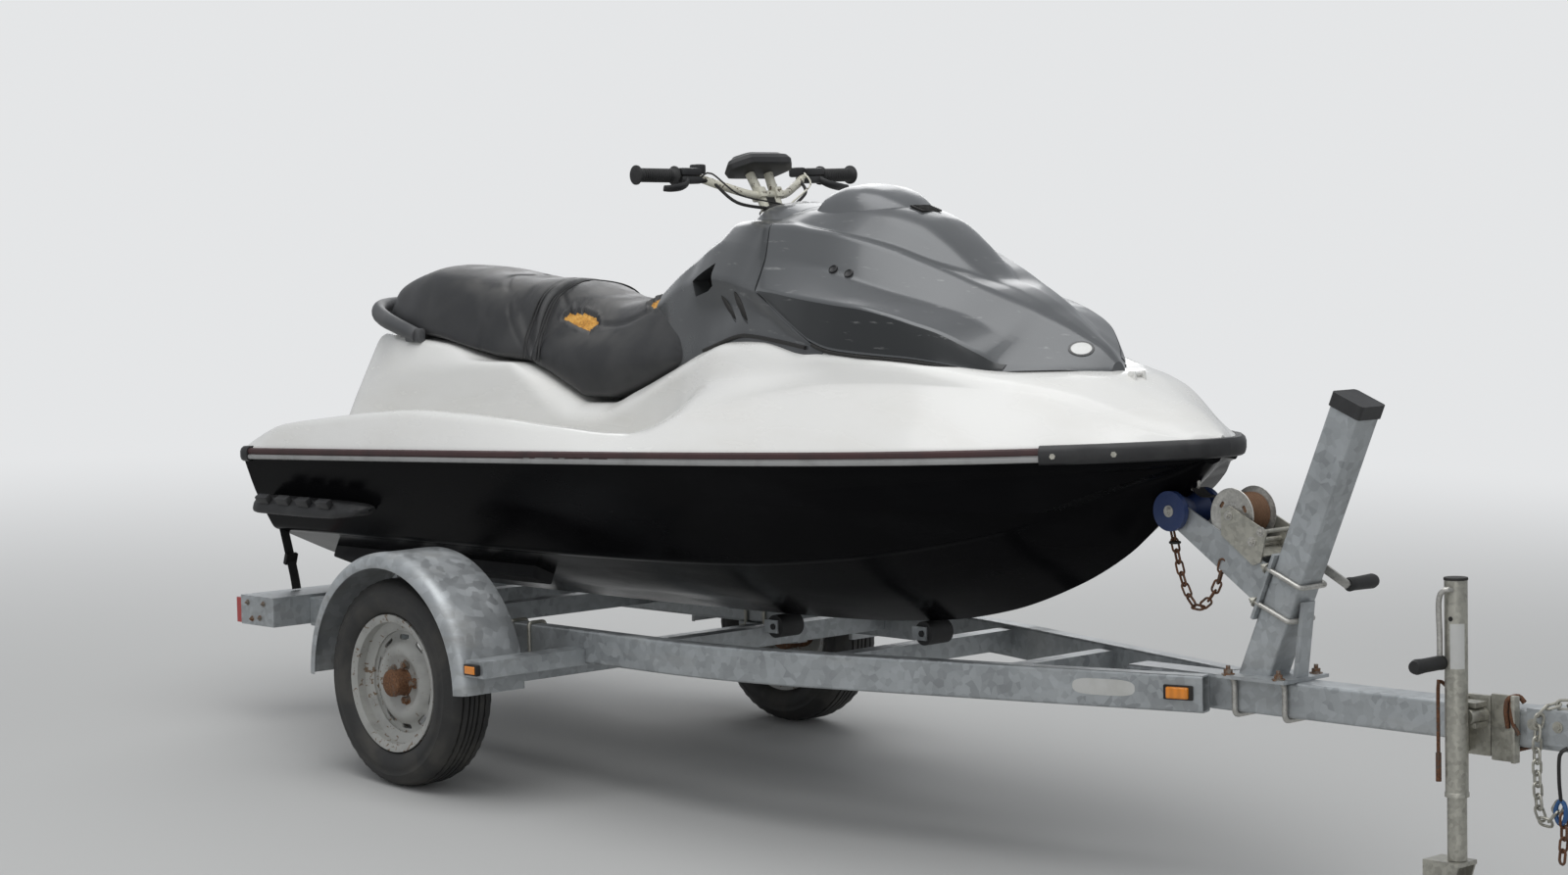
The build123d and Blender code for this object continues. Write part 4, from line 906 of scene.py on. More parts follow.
hoodShape = {
    "stations": [  # x, then y and z of the edge, crease, groove, ridge and bubble foot, and the height at the centre
        (868, 290, 1290, 282, 1300, 250, 1375, 215, 1452, 175, 1462, 1484),
        (960, 322, 1283, 320, 1288, 262, 1364, 215, 1450, 180, 1455, 1494),
        (1040, 342, 1246, 338, 1284, 260, 1352, 214, 1441, 182, 1438, 1502),
        (1110, 362, 1213, 354, 1278, 258, 1342, 211, 1432, 180, 1426, 1504),
        (1200, 382, 1172, 368, 1270, 252, 1322, 198, 1412, 165, 1408, 1492),
        (1286, 391, 1149, 372, 1261, 244, 1297, 178, 1386, 146, 1386, 1463),
        (1360, 385, 1141, 364, 1252, 234, 1276, 160, 1359, 124, 1358, 1415),
        (1447, 366, 1134, 345, 1231, 220, 1254, 136, 1325, 82, 1326, 1345),
        (1500, 352, 1130, 330, 1214, 209, 1238, 118, 1303, 50, 1302, 1308),
        (1560, 330, 1122, 305, 1192, 196, 1219, 100, 1278, 45, 1284, 1288),
        (1640, 270, 1104, 250, 1140, 168, 1182, 76, 1242, 36, 1250, 1253),
        (1675, 232, 1097, 214, 1114, 140, 1160, 64, 1222, 31, 1229, 1231),
        (1716, 180, 1097, 166, 1109, 116, 1140, 52, 1200, 25, 1207, 1209),
        (1767, 120, 1097, 112, 1106, 84, 1126, 38, 1170, 19, 1176, 1178),
        (1813, 68, 1092, 63, 1099, 50, 1112, 26, 1142, 13, 1147, 1149),
        (1850, 26, 1085, 24, 1092, 20, 1100, 12, 1110, 6, 1112, 1113)],
    "radii": [10, 12, 16, 10, 60], "sheet": 5,
    "rearLine": [(872, 1560), (905, 1445), (935, 1362), (955, 1286), (1262, 1144)],
    "ahead": [(1500, 1080), (1500, 1600)], "behind": [(500, 1080), (500, 1600)],
    "away": [(1262, 1000), (700, 1000), (700, 1600)], "flankAway": [(1275, 1000), (700, 1000), (700, 1600)],
    "panel": {"low": 0.05, "high": 0.93, "stand": 1.2, "swell": 1.6, "sunk": 3.4, "ends": (940, 1695)},
    "plugs": [(1164, 252), (1212, 247)], "plugRadius": 12,
    "vent": (1236, 46, 70),
    "badge": {"x": 1782, "y": -52, "long": 62, "wide": 42},
}
hoodStations = fair(hoodShape["stations"], 11)


def hoodHalf(values):
    spots = pairs(values[:-1])
    foot, top = spots[-1], values[-1]
    bubble = (foot[0] * 0.62, foot[1] + 0.86 * (top - foot[1]))
    return roundedLine([*spots, bubble, (0, top)], [0, *hoodShape["radii"], 0], 6)


def hoodHeight(x, y):
    half = hoodHalf(along(hoodStations, x)[1:])
    for (ya, za), (yb, zb) in zip(half, half[1:]):
        if yb <= abs(y) <= ya:
            return za + (zb - za) * (abs(y) - ya) / (yb - ya)
    return half[-1][1]


def ovalDisc(name, centre, normal, radii, depth, finish, dome=0.3, sides=36):
    rows = [(1.0, -depth), (1.0, depth * 0.5), (0.94, depth * 0.9), (0.8, depth), (0.78, depth * 0.7),
            (0.4, depth * (0.7 + dome))]
    mesh = bmesh.new()
    loops = [[mesh.verts.new((radii[0] * share * math.cos(a), radii[1] * share * math.sin(a), rise))
              for a in (2 * math.pi * k / sides for k in range(sides))] for share, rise in rows]
    top = mesh.verts.new((0, 0, depth * (0.75 + dome)))
    for a, b in zip(loops, [*loops[1:], None]):
        for i in range(sides):
            j = (i + 1) % sides
            mesh.faces.new((a[i], a[j], b[j], b[i]) if b else (a[i], a[j], top))
    mesh.faces.new(loops[0][::-1])
    bmesh.ops.recalc_face_normals(mesh, faces=mesh.faces)
    mesh.transform(Matrix.Translation(centre) @ Vector(normal).to_track_quat("Z", "Y").to_matrix().to_4x4())
    thing = landed(name, mesh, finish, 50)
    if isinstance(finish, list):
        for face in thing.data.polygons:
            face.material_index = 1 if face.index < sides * 3 else 0
    return thing


def makeFlanks(s):
    p = s["panel"]
    flanks = Piece("hoodFlanks", "hood_sides")
    for side in (1, -1):
        rings = []
        for x, edgeY, edgeZ, creaseY, creaseZ, *_ in hoodStations:
            if not p["ends"][0] <= x <= p["ends"][1]:
                continue
            out = Vector((creaseZ - edgeZ, edgeY - creaseY)).normalized()
            line = []
            for k in range(7):
                share = p["low"] + (p["high"] - p["low"]) * k / 6
                lift = p["stand"] + p["swell"] * math.sin(math.pi * k / 6) ** 0.5
                line.append((edgeY + (creaseY - edgeY) * share + out.x * lift,
                             edgeZ + (creaseZ - edgeZ) * share + out.y * lift))
            line += [(y - out.x * p["sunk"], z - out.y * p["sunk"]) for y, z in (line[-1], line[0])]
            rings.append([(x, side * y, z) for y, z in line])
        flanks.add(woven(rings))
    panels = flanks.done("hood", "hood_sides", sharp=40)
    rear = [(x + 9, z) for x, z in s["rearLine"]]
    carved(panels, prismMesh(rear + s["flankAway"], -480, 480), sharp=40)


def makeBadge(b):
    x, y, long, wide = (b[k] for k in ("x", "y", "long", "wide"))
    slopeX = (hoodHeight(x + 8, y) - hoodHeight(x - 8, y)) / 16
    slopeY = (hoodHeight(x, y + 6) - hoodHeight(x, y - 6)) / 12
    badge = ovalDisc("hoodBadge", (x, y, hoodHeight(x, y) + 0.5), (-slopeX, -slopeY, 1), (long / 2, wide / 2), 2.5,
                     [finishes["badge"], finishes["badgeRim"]], 0.1)
    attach(badge, "hood")


def makeHood(s):
    away = prismMesh(s["rearLine"] + s["away"], -460, 460)
    halves = [(row[0], hoodHalf(row[1:])) for row in hoodStations]
    hood = landed("hoodShell", skinMesh(halves), finishes["hood"], 40)
    modified(hood, "SOLIDIFY", thickness=-s["sheet"] / 1000, offset=1, use_even_offset=True)
    carved(hood, away, sharp=28)
    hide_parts("hood")
    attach(hood, "hood")
    makeFlanks(s)
    for side in (1, -1):
        for k, (x, y) in enumerate(s["plugs"]):
            plugPiece = ovalDisc(f"hoodPlug{k}{'L' if side > 0 else 'R'}", (x, side * y, hoodHeight(x, y)),
                                 (0.12, side * 0.78, 0.62), (s["plugRadius"],) * 2, 5, blackPlastic, -0.5)
            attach(plugPiece, "hood")
    makeBadge(s["badge"])
    x, long, wide = s["vent"]
    high = [hoodHeight(x - long / 2, 0), hoodHeight(x + long / 2, 0)]
    vent = Piece("hoodVent", "seal")
    place = facing((x, 0, sum(high) / 2), (high[0] - high[1], 0, long))
    vent.add(block((long, wide, 5), 2), place)
    for k in range(5):
        vent.add(block((3, wide - 12, 3), 0.8), place @ Matrix.Translation((long * (k - 2) / 6, 0, 3)))
    vent.done("hood", slot="hood")


makeHood(hoodShape)
print("hood made")

consoleShape = {
    "stations": [  # x, then y and z of the foot, belly, crease, groove and ridge, and the height at the centre
        (380, 150, 1098, 152, 1170, 146, 1240, 120, 1278, 60, 1290, 1292),
        (494, 206, 1105, 196, 1190, 182, 1284, 150, 1332, 80, 1355, 1361),
        (562, 228, 1112, 214, 1200, 200, 1302, 160, 1362, 90, 1396, 1403),
        (630, 246, 1122, 226, 1212, 224, 1318, 176, 1390, 105, 1436, 1444),
        (690, 256, 1132, 236, 1222, 242, 1324, 190, 1402, 130, 1458, 1470),
        (770, 278, 1150, 252, 1236, 264, 1318, 214, 1398, 165, 1460, 1472),
        (850, 298, 1168, 280, 1240, 284, 1308, 238, 1384, 196, 1456, 1477),
        (899, 308, 1174, 298, 1240, 300, 1300, 252, 1376, 213, 1452, 1484),
        (960, 326, 1172, 312, 1232, 322, 1286, 262, 1364, 215, 1450, 1490),
        (1040, 348, 1166, 338, 1206, 342, 1246, 262, 1350, 214, 1441, 1495),
        (1110, 364, 1160, 358, 1180, 362, 1213, 258, 1342, 211, 1432, 1495),
        (1200, 384, 1150, 382, 1160, 383, 1172, 252, 1322, 198, 1412, 1485),
        (1262, 390, 1142, 389, 1146, 389, 1152, 248, 1300, 180, 1390, 1470)],
    "radii": [0, 50, 12, 14, 20], "low": 1090,
    "seatLine": [(385, 1305), (690, 1133)], "seatGap": 3, "cut": (200, 1040, 1500), "hoodGap": 5,
    "scoops": [((820, 278, 1292), (912, 306, 1204), 13), ((752, 260, 1278), (850, 286, 1206), 10)],
    "pocket": [(604, 1310), (706, 1356), (716, 1298), (690, 1284), (626, 1270)],
    # the second y span of the pockets holds a near-black liner, painted shade for the recess
    "pocketDepth": (152, 290), "pocketShadeBack": (150, 160), "seal": (690, 1215),
}


def scoop(start, end, radius, side, sunk=0.0, slim=0.0):
    spots = [Vector(start).lerp(Vector(end), k / 8) for k in range(9)]
    swell = [max(0.4, (radius - slim) * math.sin(math.pi * k / 8) ** 0.6) for k in range(9)]
    return tube([(p.x, side * (p.y - sunk), p.z) for p in spots], swell, 12)


def makeConsole(s):
    rings = []
    for row in fair(s["stations"], 10):
        spots = pairs(row[1:-1])
        rings.append((row[0], roundedLine([(0, s["low"]), (spots[0][0], s["low"]), *spots, (0, row[-1])],
                                          [0, 0, *s["radii"], 0], 6)))
    console = landed("consoleShell", ringMesh(rings), finishes["console"], 30)
    rear = [(x - s["hoodGap"], z) for x, z in hoodShape["rearLine"]]
    (xa, za), (xb, zb) = s["seatLine"]
    slope = (xb - xa) / (zb - za)
    end, low, top = s["cut"]
    seatSide = [(xa + slope * (top - za) + s["seatGap"], top), (xb + slope * (low - zb) + s["seatGap"], low),
                (end, low), (end, top)]
    scoops = [scoop(*row, side) for row in s["scoops"] for side in (1, -1)]
    pockets = [prismMesh(s["pocket"], *sorted(side * y for y in s["pocketDepth"])) for side in (1, -1)]
    carved(console, prismMesh(rear + hoodShape["ahead"], -470, 470), prismMesh(seatSide, -400, 400),
           *scoops, *pockets, sharp=30)
    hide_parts("console")
    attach(console, "base")
    # Painted shade: near-black liners at the back of the side pockets and sunk into the scoops stand in for the
    # shadow inside these recesses
    inset = Piece("consolePocketShade", "seal")
    for side in (1, -1):
        inset.add(prismMesh(s["pocket"], *sorted(side * y for y in s["pocketShadeBack"])))
        for row in s["scoops"]:
            inset.add(scoop(*row, side, 5 + row[2] * 0.45, 1.5))
    inset.done("base", slot="console")
    start, turn = s["seal"]
    foot = [(row[0], row[1] + 2, row[2] + 2) for row in fair(s["stations"], 30) if start <= row[0] <= turn]
    seal = Piece("consoleSeals", "seal")
    for side in (1, -1):
        seal.add(tube([(x, side * y, z) for x, y, z in foot], 5, 8))
        edge = [(row[0], side * (row[1] + 1), row[2] - 6) for row in hoodStations if row[0] >= turn]
        seal.add(tube(edge, 4.5, 8))
    seal.done("base", slot="console")


makeConsole(consoleShape)
print("console made")

dashShape = {
    "stations": [  # x, then y and z of the foot and the shoulder, and the height at the centre
        (668, 62, 1428, 48, 1446, 1452), (700, 92, 1440, 70, 1474, 1486), (740, 112, 1448, 84, 1492, 1503),
        (780, 122, 1452, 92, 1498, 1509), (830, 134, 1456, 98, 1498, 1508), (880, 142, 1456, 100, 1490, 1500),
        (925, 146, 1452, 100, 1478, 1488), (950, 146, 1448, 98, 1466, 1476)],
}
domeShape = {
    "stations": [
        (944, 120, 1440, 88, 1470, 1480), (966, 136, 1444, 104, 1502, 1515), (1000, 142, 1448, 110, 1526, 1538),
        (1043, 142, 1452, 110, 1536, 1548), (1090, 137, 1452, 104, 1534, 1546), (1135, 126, 1450, 94, 1524, 1537),
        (1174, 108, 1448, 78, 1506, 1519), (1202, 84, 1446, 58, 1488, 1500), (1222, 58, 1440, 38, 1470, 1482)],
}


def makeDomes():
    line = hoodShape["rearLine"]
    ahead = line + hoodShape["ahead"]
    behind = [(x + 2, z) for x, z in line] + hoodShape["behind"]
    for name, shape, node, body, finish, cut in (("dashBump", dashShape, None, "base", "dash", ahead),
                                                 ("dashFront", dashShape, None, "hood", "dash", behind),
                                                 ("gaugeDome", domeShape, "gauge_dome", "hood", "dome", None)):
        rings = []
        for row in fair(shape["stations"], 7):
            spots = pairs(row[1:-1])
            low = spots[0][1] - 12
            rings.append((row[0], roundedLine([(0, low), (spots[0][0], low), *spots, (0, row[-1])],
                                              [0, 0, 8, 60, 0], 9)))
        dome = landed(name, ringMesh(rings), finishes[finish], 45)
        if cut:
            carved(dome, prismMesh(cut, -470, 470), sharp=45)
        if node:
            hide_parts(node)
        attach(dome, body)


makeDomes()
print("domes made")

# Seats, swollen by a cloth simulation, then stitched and torn
seatShape = {
    "sections": [  # x, half width at the edge and the shoulder, shoulder height, top height
        (-884, 96, 66, 1254, 1270), (-850, 142, 100, 1272, 1296), (-800, 168, 125, 1288, 1315),
        (-700, 198, 146, 1308, 1343), (-610, 218, 162, 1318, 1357), (-480, 232, 170, 1310, 1350),
        (-338, 240, 172, 1290, 1331), (-220, 242, 171, 1276, 1318), (-108, 243, 172, 1268, 1317),
        (-40, 245, 168, 1256, 1306), (30, 246, 160, 1232, 1284), (100, 247, 154, 1216, 1268),
        (172, 248, 150, 1208, 1263), (250, 247, 149, 1216, 1271), (335, 246, 150, 1232, 1287),
        (480, 244, 150, 1260, 1320), (690, 250, 160, 1300, 1360)],
    "low": [(-960, 1215), (-820, 1168), (-501, 1150), (-220, 1098), (-67, 1090), (37, 1052), (181, 992), (290, 992),
            (404, 1024), (690, 1133)],
    "front": ((385, 1305), (690, 1133)),
    "parting": [(0, -33), (0.12, -42), (0.25, -51), (0.47, -61), (0.74, -67), (1, -98)],
    "across": 34, "pitch": 8.5, "clear": 4.0, "swell": 5.0, "gap": 1.2, "edge": 15,
    "round": [0, 0.04, 0.14, 0.32, 0.6, 1.0], "inner": (0, 1190), "heldRows": 7,
    "cloth": {"pressure": 4, "quality": 4, "frames": 15}, "stitch": {"reach": 0.018, "core": 0.004},
    "torn": {"reach": 0.11, "rim": 0.014, "depth": 0.009, "rough": (-0.002, 0.003), "curl": (0.0005, 0.004)},
    "grooves": {
        "bolster": ([(-300, -20, 1326), (-326, -70, 1325), (-275, -130, 1302), (-217, -171, 1276), (-200, -189, 1235),
                     (-143, -215, 1174), (-63, -243, 1117)], 4.5, 5.5),
        "hem": ([(-60, -247, 1102), (-72, -231, 1138), (-82, -206, 1183), (-92, -154, 1262), (-99, -93, 1298),
                 (-128, 0, 1314)], 3.0, 4.0),
        "frontHem": ([(-4, -247, 1096), (-13, -231, 1138), (-22, -206, 1183), (-32, -154, 1258), (-38, -93, 1294),
                      (-66, 0, 1309)], 3.0, 4.0),
        "panel": ([(-34, -128, 1278), (10, -150, 1246), (66, -155, 1227), (150, -163, 1200), (261, -171, 1197),
                   (354, -154, 1231), (430, -119, 1274), (493, -98, 1304)], 4.5, 5.5)},
    "tears": [[(8, -166, 1224), (20, -146, 1234), (74, -137, 1230), (128, -143, 1214), (162, -160, 1196),
               (150, -182, 1186), (96, -184, 1193), (48, -178, 1206)],
              [(316, -116, 1256), (330, -92, 1271), (372, -80, 1286), (418, -84, 1296), (446, -104, 1288),
               (434, -126, 1268), (384, -146, 1244), (340, -138, 1240)]],
}


def seatHalf(row, low):
    _, edge, shoulder, shoulderZ, top = row
    base = edge + (4 if low > 1110 else 0)
    wall = (edge + 4, 1110) if low < 1085 else (base + (shoulder - base) * 0.3, low + (shoulderZ - low) * 0.3)
    line = roundedLine([(0, low + 2), (base - 26, low), (base, low + 6), wall, (shoulder, shoulderZ),
                        (shoulder * 0.55, top - 6), (0, top)], [0, 16, 14, 60, 74, 70, 0], 6)
    return [Vector(p) for p in line]


def spaced(line, count):
    lengths = [0.0]
    for a, b in zip(line, line[1:]):
        lengths.append(lengths[-1] + (b - a).length)
    spots, k = [], 0
    for i in range(count + 1):
        want = lengths[-1] * i / count
        while k < len(line) - 2 and lengths[k + 1] < want:
            k += 1
        share = (want - lengths[k]) / max(lengths[k + 1] - lengths[k], 1e-6)
        spots.append(line[k].lerp(line[k + 1], min(share, 1)))
    return spots


def seatSurface(s):
    rows = []
    for row in fair(s["sections"], 10):
        low = along(s["low"], row[0])[1]
        rows.append((row[0], spaced(seatHalf(row, low), s["across"])))

    def at(x, j):
        x = min(max(x, rows[0][0]), rows[-1][0])
        for a, b in zip(rows, rows[1:]):
            if x <= b[0]:
                return a[1][j].lerp(b[1][j], (x - a[0]) / (b[0] - a[0]))
    return at


def seatPad(name, s, at, starts, ends, node):
    across, clear = s["across"], s["clear"]
    longest = max(b - a for a, b in zip(starts, ends))
    count = round(longest / s["pitch"])
    edge, steps, rings = s["edge"], s["round"], []
    last = count + 2 * (len(steps) - 1)
    for i in range(last + 1):
        ring = []
        head = i < len(steps)
        tail = i > count + len(steps) - 2
        k = i if head else (last - i if tail else len(steps) - 1)
        inset = edge * (1 - math.sqrt(1 - (1 - steps[k]) ** 2)) if head or tail else 0
        for j in range(across + 1):
            a, b = starts[j], ends[j]
            if head:
                x = a + edge * steps[k]
            elif tail:
                x = b - edge * steps[k]
            else:
                x = a + edge + (b - a - 2 * edge) * (i - len(steps) + 1) / count
            here = at(x, j)
            side = at(x, min(j + 1, across)) - at(x, max(j - 1, 0))
            normal = Vector((side.y, -side.x)).normalized() if side.length else Vector((0, 1))
            if normal.dot(here - Vector(s["inner"])) < 0 and j > 6:
                normal = -normal
            here = here - normal * (clear + inset * 0.999)
            ring.append((x, max(here.x, 0) if j not in (0, across) else 0, here.y))
        rings.append(ring + [(x, -y, z) for x, y, z in reversed(ring[1:-1])])
    mesh = woven(rings)
    held, around = mesh.verts.layers.float.new("held"), len(rings[0])
    for n, spot in enumerate(mesh.verts):
        i, j = divmod(n, around)
        spot[held] = 1.0 if i in (0, last) or min(j, around - j) < s["heldRows"] else 0.0
    pad = landed(name, mesh, [finishes["seat"], finishes["foam"]], 60)
    swollen(pad, s["cloth"], s["swell"] / 1000)
    modified(pad, "SUBSURF", levels=1, render_levels=1)
    stitched(pad, s)
    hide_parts(node)
    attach(pad, "base")
    return pad


def swollen(pad, s, most):
    rest = [v.co.copy() for v in pad.data.vertices]
    pins = pad.vertex_groups.new(name="pinned")
    pins.add([i for i, v in enumerate(pad.data.attributes["held"].data) if v.value > 0.5], 1.0, "REPLACE")
    cloth = pad.modifiers.new("cloth", "CLOTH").settings
    cloth.use_pressure = True
    cloth.uniform_pressure_force = s["pressure"]
    cloth.vertex_group_mass = "pinned"
    cloth.effector_weights.gravity = 0
    cloth.quality = s["quality"]
    for step in range(1, s["frames"] + 1):
        bpy.context.scene.frame_set(step)
    applied(pad)
    bpy.context.scene.frame_set(1)
    for vertex, home in zip(pad.data.vertices, rest):
        move = vertex.co - home
        vertex.co = home + move.normalized() * min(move.length, most) if move.length > 1e-7 else home


def stitched(pad, s):
    mesh = bmesh.new()
    mesh.from_mesh(pad.data)
    mesh.normal_update()
    pull = {}
    for line, depth, width in s["grooves"].values():
        spots = smoothed(line, 2.5)
        tree = KDTree(2 * len(spots))
        for i, spot in enumerate(spots):
            tree.insert(parked(*spot), 2 * i)
            tree.insert(parked(spot.x, -spot.y, spot.z), 2 * i + 1)
        tree.balance()
        for vertex in mesh.verts:
            _, _, away = tree.find(vertex.co)
            if away < s["stitch"]["reach"]:
                ratio = max(away - s["stitch"]["core"], 0) / (width / 1000)
                pull[vertex.index] = min(pull.get(vertex.index, 0), -depth / 1000 * math.exp(-ratio * ratio))
    random.seed(11)
    torn, t = set(), s["torn"]
    for outline in s["tears"]:
        ring = [parked(*spot) for spot in outline]
        middle = sum(ring, Vector()) / len(ring)
        for vertex in mesh.verts:
            if (vertex.co - middle).length > t["reach"]:
                continue
            if insideOf(vertex.co.x, vertex.co.y, [(p.x, p.y) for p in ring]):
                torn.add(vertex.index)
                pull[vertex.index] = random.uniform(*t["rough"]) - t["depth"]
            elif min((vertex.co - p).length for p in ring) < t["rim"]:
                pull[vertex.index] = pull.get(vertex.index, 0) + random.uniform(*t["curl"])
    for face in mesh.faces:
        if all(v.index in torn for v in face.verts):
            face.material_index = 1
    moves = [(vertex, vertex.normal * pull[vertex.index]) for vertex in mesh.verts if vertex.index in pull]
    for vertex, move in moves:
        vertex.co += move
    mesh.to_mesh(pad.data)
    mesh.free()
    pad.data.shade_smooth()


def insideOf(x, y, ring):
    odd = False
    for (xa, ya), (xb, yb) in zip(ring, ring[1:] + ring[:1]):
        if (ya > y) != (yb > y) and x < xa + (xb - xa) * (y - ya) / (yb - ya):
            odd = not odd
    return odd


def makeSeats(s):
    at = seatSurface(s)
    count = s["across"]
    shares = [j / count for j in range(count + 1)]
    upper = [max(0.0, (t - 0.3) / 0.7) for t in shares]
    parting = [along(s["parting"], t)[1] for t in upper]
    (xa, za), (xb, zb) = s["front"]
    nose = []
    for j in range(count + 1):
        x = 600.0
        for _ in range(30):
            reach = xa + (za - at(x, max(j, 7))[1]) * (xb - xa) / (za - zb)
            x += 0.35 * (min(max(reach, xa), xb) - x)
        nose.append(x - 4)
    rear = [s["sections"][0][0] + 2 for _ in shares]
    gap = s["gap"] / 2
    seatPad("seatRearPad", s, at, rear, [x - gap for x in parting], "seat_rear")
    seatPad("seatFrontPad", s, at, [x + gap for x in parting], nose, "seat_front")
    for name, key in (("seatHemRear", "hem"), ("seatHemFront", "frontHem")):
        hem = Piece(name, "welt")
        for away in (-6, 6):
            line = [(x + away, y * 1.004, z + 0.6) for x, y, z in bothSides(s["grooves"][key][0])]
            hem.add(tube(smoothed(line, 8), 2.2, 8))
        hem.done("base", slot="seat_front")


makeSeats(seatShape)
print("seats made")
# Rub rail and bumpers along the seam of hull and deck, sponsons and grab handle
railShape = {
    "profile": [(-3, 0), (8, 0), (12, 2), (13, 7), (12, 12), (9, 14), (9, 16), (12, 18), (13, 23), (11, 29), (6, 32),
                (-5, 32)],
    "start": -992, "end": 1896, "steps": 120, "silverTop": 15,
    "bumper": [(-3, -6), (9, -6), (15, -2), (18, 6), (18, 22), (15, 31), (8, 37), (-6, 38)],
    "bow": (1890, 2125, 9), "nose": [(2125, 92), (2146, 66), (2157, 34), (2160, 0)], "waist": (118, 34, 0.28),
    "stern": [(-990, 521), (-1018, 519), (-1030, 512), (-1034, 498), (-1034, 456)],
    "screws": ((1916, 16.5), (2020, 15)), "screwHeight": 14,
}


def beamAt(x):
    return along(hullStations, x)[1]


def skirt(path, profile, widths=None):
    rings = []
    for i, (x, y) in enumerate(path):
        a, b = path[max(i - 1, 0)], path[min(i + 1, len(path) - 1)]
        out = Vector((b[1] - a[1], a[0] - b[0])).normalized()
        if out.dot(Vector((0.02 * x - 8, y))) < 0:
            out = -out
        if i == len(path) - 1 and y == 0:
            out = Vector((1, 0))
        grow = widths[i] if widths else 1
        rings.append([(x + out.x * o * grow, y + out.y * o * grow, sheer(x) + dz) for o, dz in profile])
    return woven(rings)


def flatLine(points, pitch):
    return [(p.x, p.y) for p in smoothed([(x, y, 0) for x, y in points], pitch)]


def makeRail(s):
    places = [s["start"] + (s["end"] - s["start"]) * k / s["steps"] for k in range(s["steps"] + 1)]
    rail = Piece("railShell", "railStripe", "railSilver")
    for side in (1, -1):
        rail.add(skirt([(x, side * beamAt(x)) for x in places], s["profile"]))
    for face in rail.mesh.faces:
        middle = face.calc_center_median()
        if middle.z - sheer(middle.x) < s["silverTop"] and face.normal.z < 0.9:
            face.material_index = 1
    rail.done("base", "rub_rail", sharp=30)


def makeBumpers(s):
    bumper = Piece("bumperShell", "bumpers")
    front = [(x, beamAt(x)) for x in range(*s["bow"])] + flatLine(s["nose"], 5)
    front[-1] = s["nose"][-1]
    lengths = [0.0]
    for a, b in zip(front, front[1:]):
        lengths.append(lengths[-1] + math.dist(a, b))
    middle, spread, depth = s["waist"]
    widths = [1.0 - depth * math.exp(-((d - middle) / spread) ** 2) for d in lengths]
    for side in (1, -1):
        bumper.add(skirt([(x, side * y) for x, y in front], s["bumper"], widths))
        bumper.add(skirt([(x, side * y) for x, y in flatLine(s["stern"], 6)], s["bumper"]))
    bmesh.ops.remove_doubles(bumper.mesh, verts=bumper.mesh.verts, dist=0.01)
    bumper.done("base", "bumpers", sharp=34)
    screws = []
    for side in (1, -1):
        for x, reach in s["screws"]:
            out = Vector(((beamAt(x - 5) - beamAt(x + 5)) / 10, 1)).normalized()
            screws.append((x + out.x * reach, side * (beamAt(x) + out.y * reach), sheer(x) + s["screwHeight"],
                           out.x, side * out.y, 0))
    makeBolts("bumperScrews", screws, 7, "base", "bumpers", "zinc", head=2.5, washer=0.6, shank=0.3)


sponsonShape = {
    "stations": [  # x, how far out, and the heights of the underside and the top
        (-955, 538, 666, 698), (-942, 556, 660, 704), (-900, 563, 658, 706), (-700, 563, 658, 706),
        (-560, 561, 660, 706), (-490, 550, 668, 704), (-450, 532, 678, 700), (-436, 514, 686, 695)],
    "inner": 450, "pockets": (-880, -780, -680, -580), "pocketSize": (58, 22, 24), "pocketPlace": (558, 701),
    "boltPlace": (545, 688),
}


def makeSponsons(s):
    piece = Piece("sponsonWings", "sponsons")
    for side in (1, -1):
        rings = []
        for x, out, low, high in fair(s["stations"], 12):
            line = roundedLine([(s["inner"], low), (out - 4, low), (out, low + 10), (out - 5, high - 16),
                                (out - 22, high), (s["inner"], high)], [0, 6, 5, 6, 8, 0], 3)
            rings.append([(x, side * y, z) for y, z in line])
        piece.add(woven(rings))
    wings = piece.done("base", "sponsons", sharp=30)
    places = [(x, side) for side in (1, -1) for x in s["pockets"]]
    (y, z), cutters = s["pocketPlace"], []
    for x, side in places:
        cutters.append(block(s["pocketSize"], 6, 2))
        cutters[-1].transform(facing((x, side * y, z), (0, side * 0.5, 0.86)))
    carved(wings, *cutters, sharp=30)
    y, z = s["boltPlace"]
    makeBolts("sponsonBolts", [(x, side * y, z, 0, side * 0.45, 0.89) for x, side in places], 6, "base", "sponsons",
              "seal", head=3.5)


handleShape = {
    "route": [(-560, 236, 1160), (-650, 228, 1182), (-760, 204, 1206), (-850, 158, 1226), (-898, 90, 1236),
              (-908, 0, 1238)],
    "thin": 17, "swell": 5, "foot": (70, 26, 40), "footPlace": (-575, 232, 1160),
}


def makeGrabHandle(s):
    line = smoothed(bothSides(s["route"]), 12)
    radii = [s["thin"] + s["swell"] * math.sin(math.pi * k / (len(line) - 1)) for k in range(len(line))]
    handle = Piece("grabRail", "grab_handle")
    handle.add(tube(line, radii, 16, flat=1.25))
    x, y, z = s["footPlace"]
    for side in (1, -1):
        handle.add(block(s["foot"], 8), Matrix.Translation((x, side * y, z)))
    handle.done("base", "grab_handle", sharp=50)


makeRail(railShape)
makeBumpers(railShape)
makeSponsons(sponsonShape)
makeGrabHandle(handleShape)
print("rail, bumpers, sponsons and handle made")
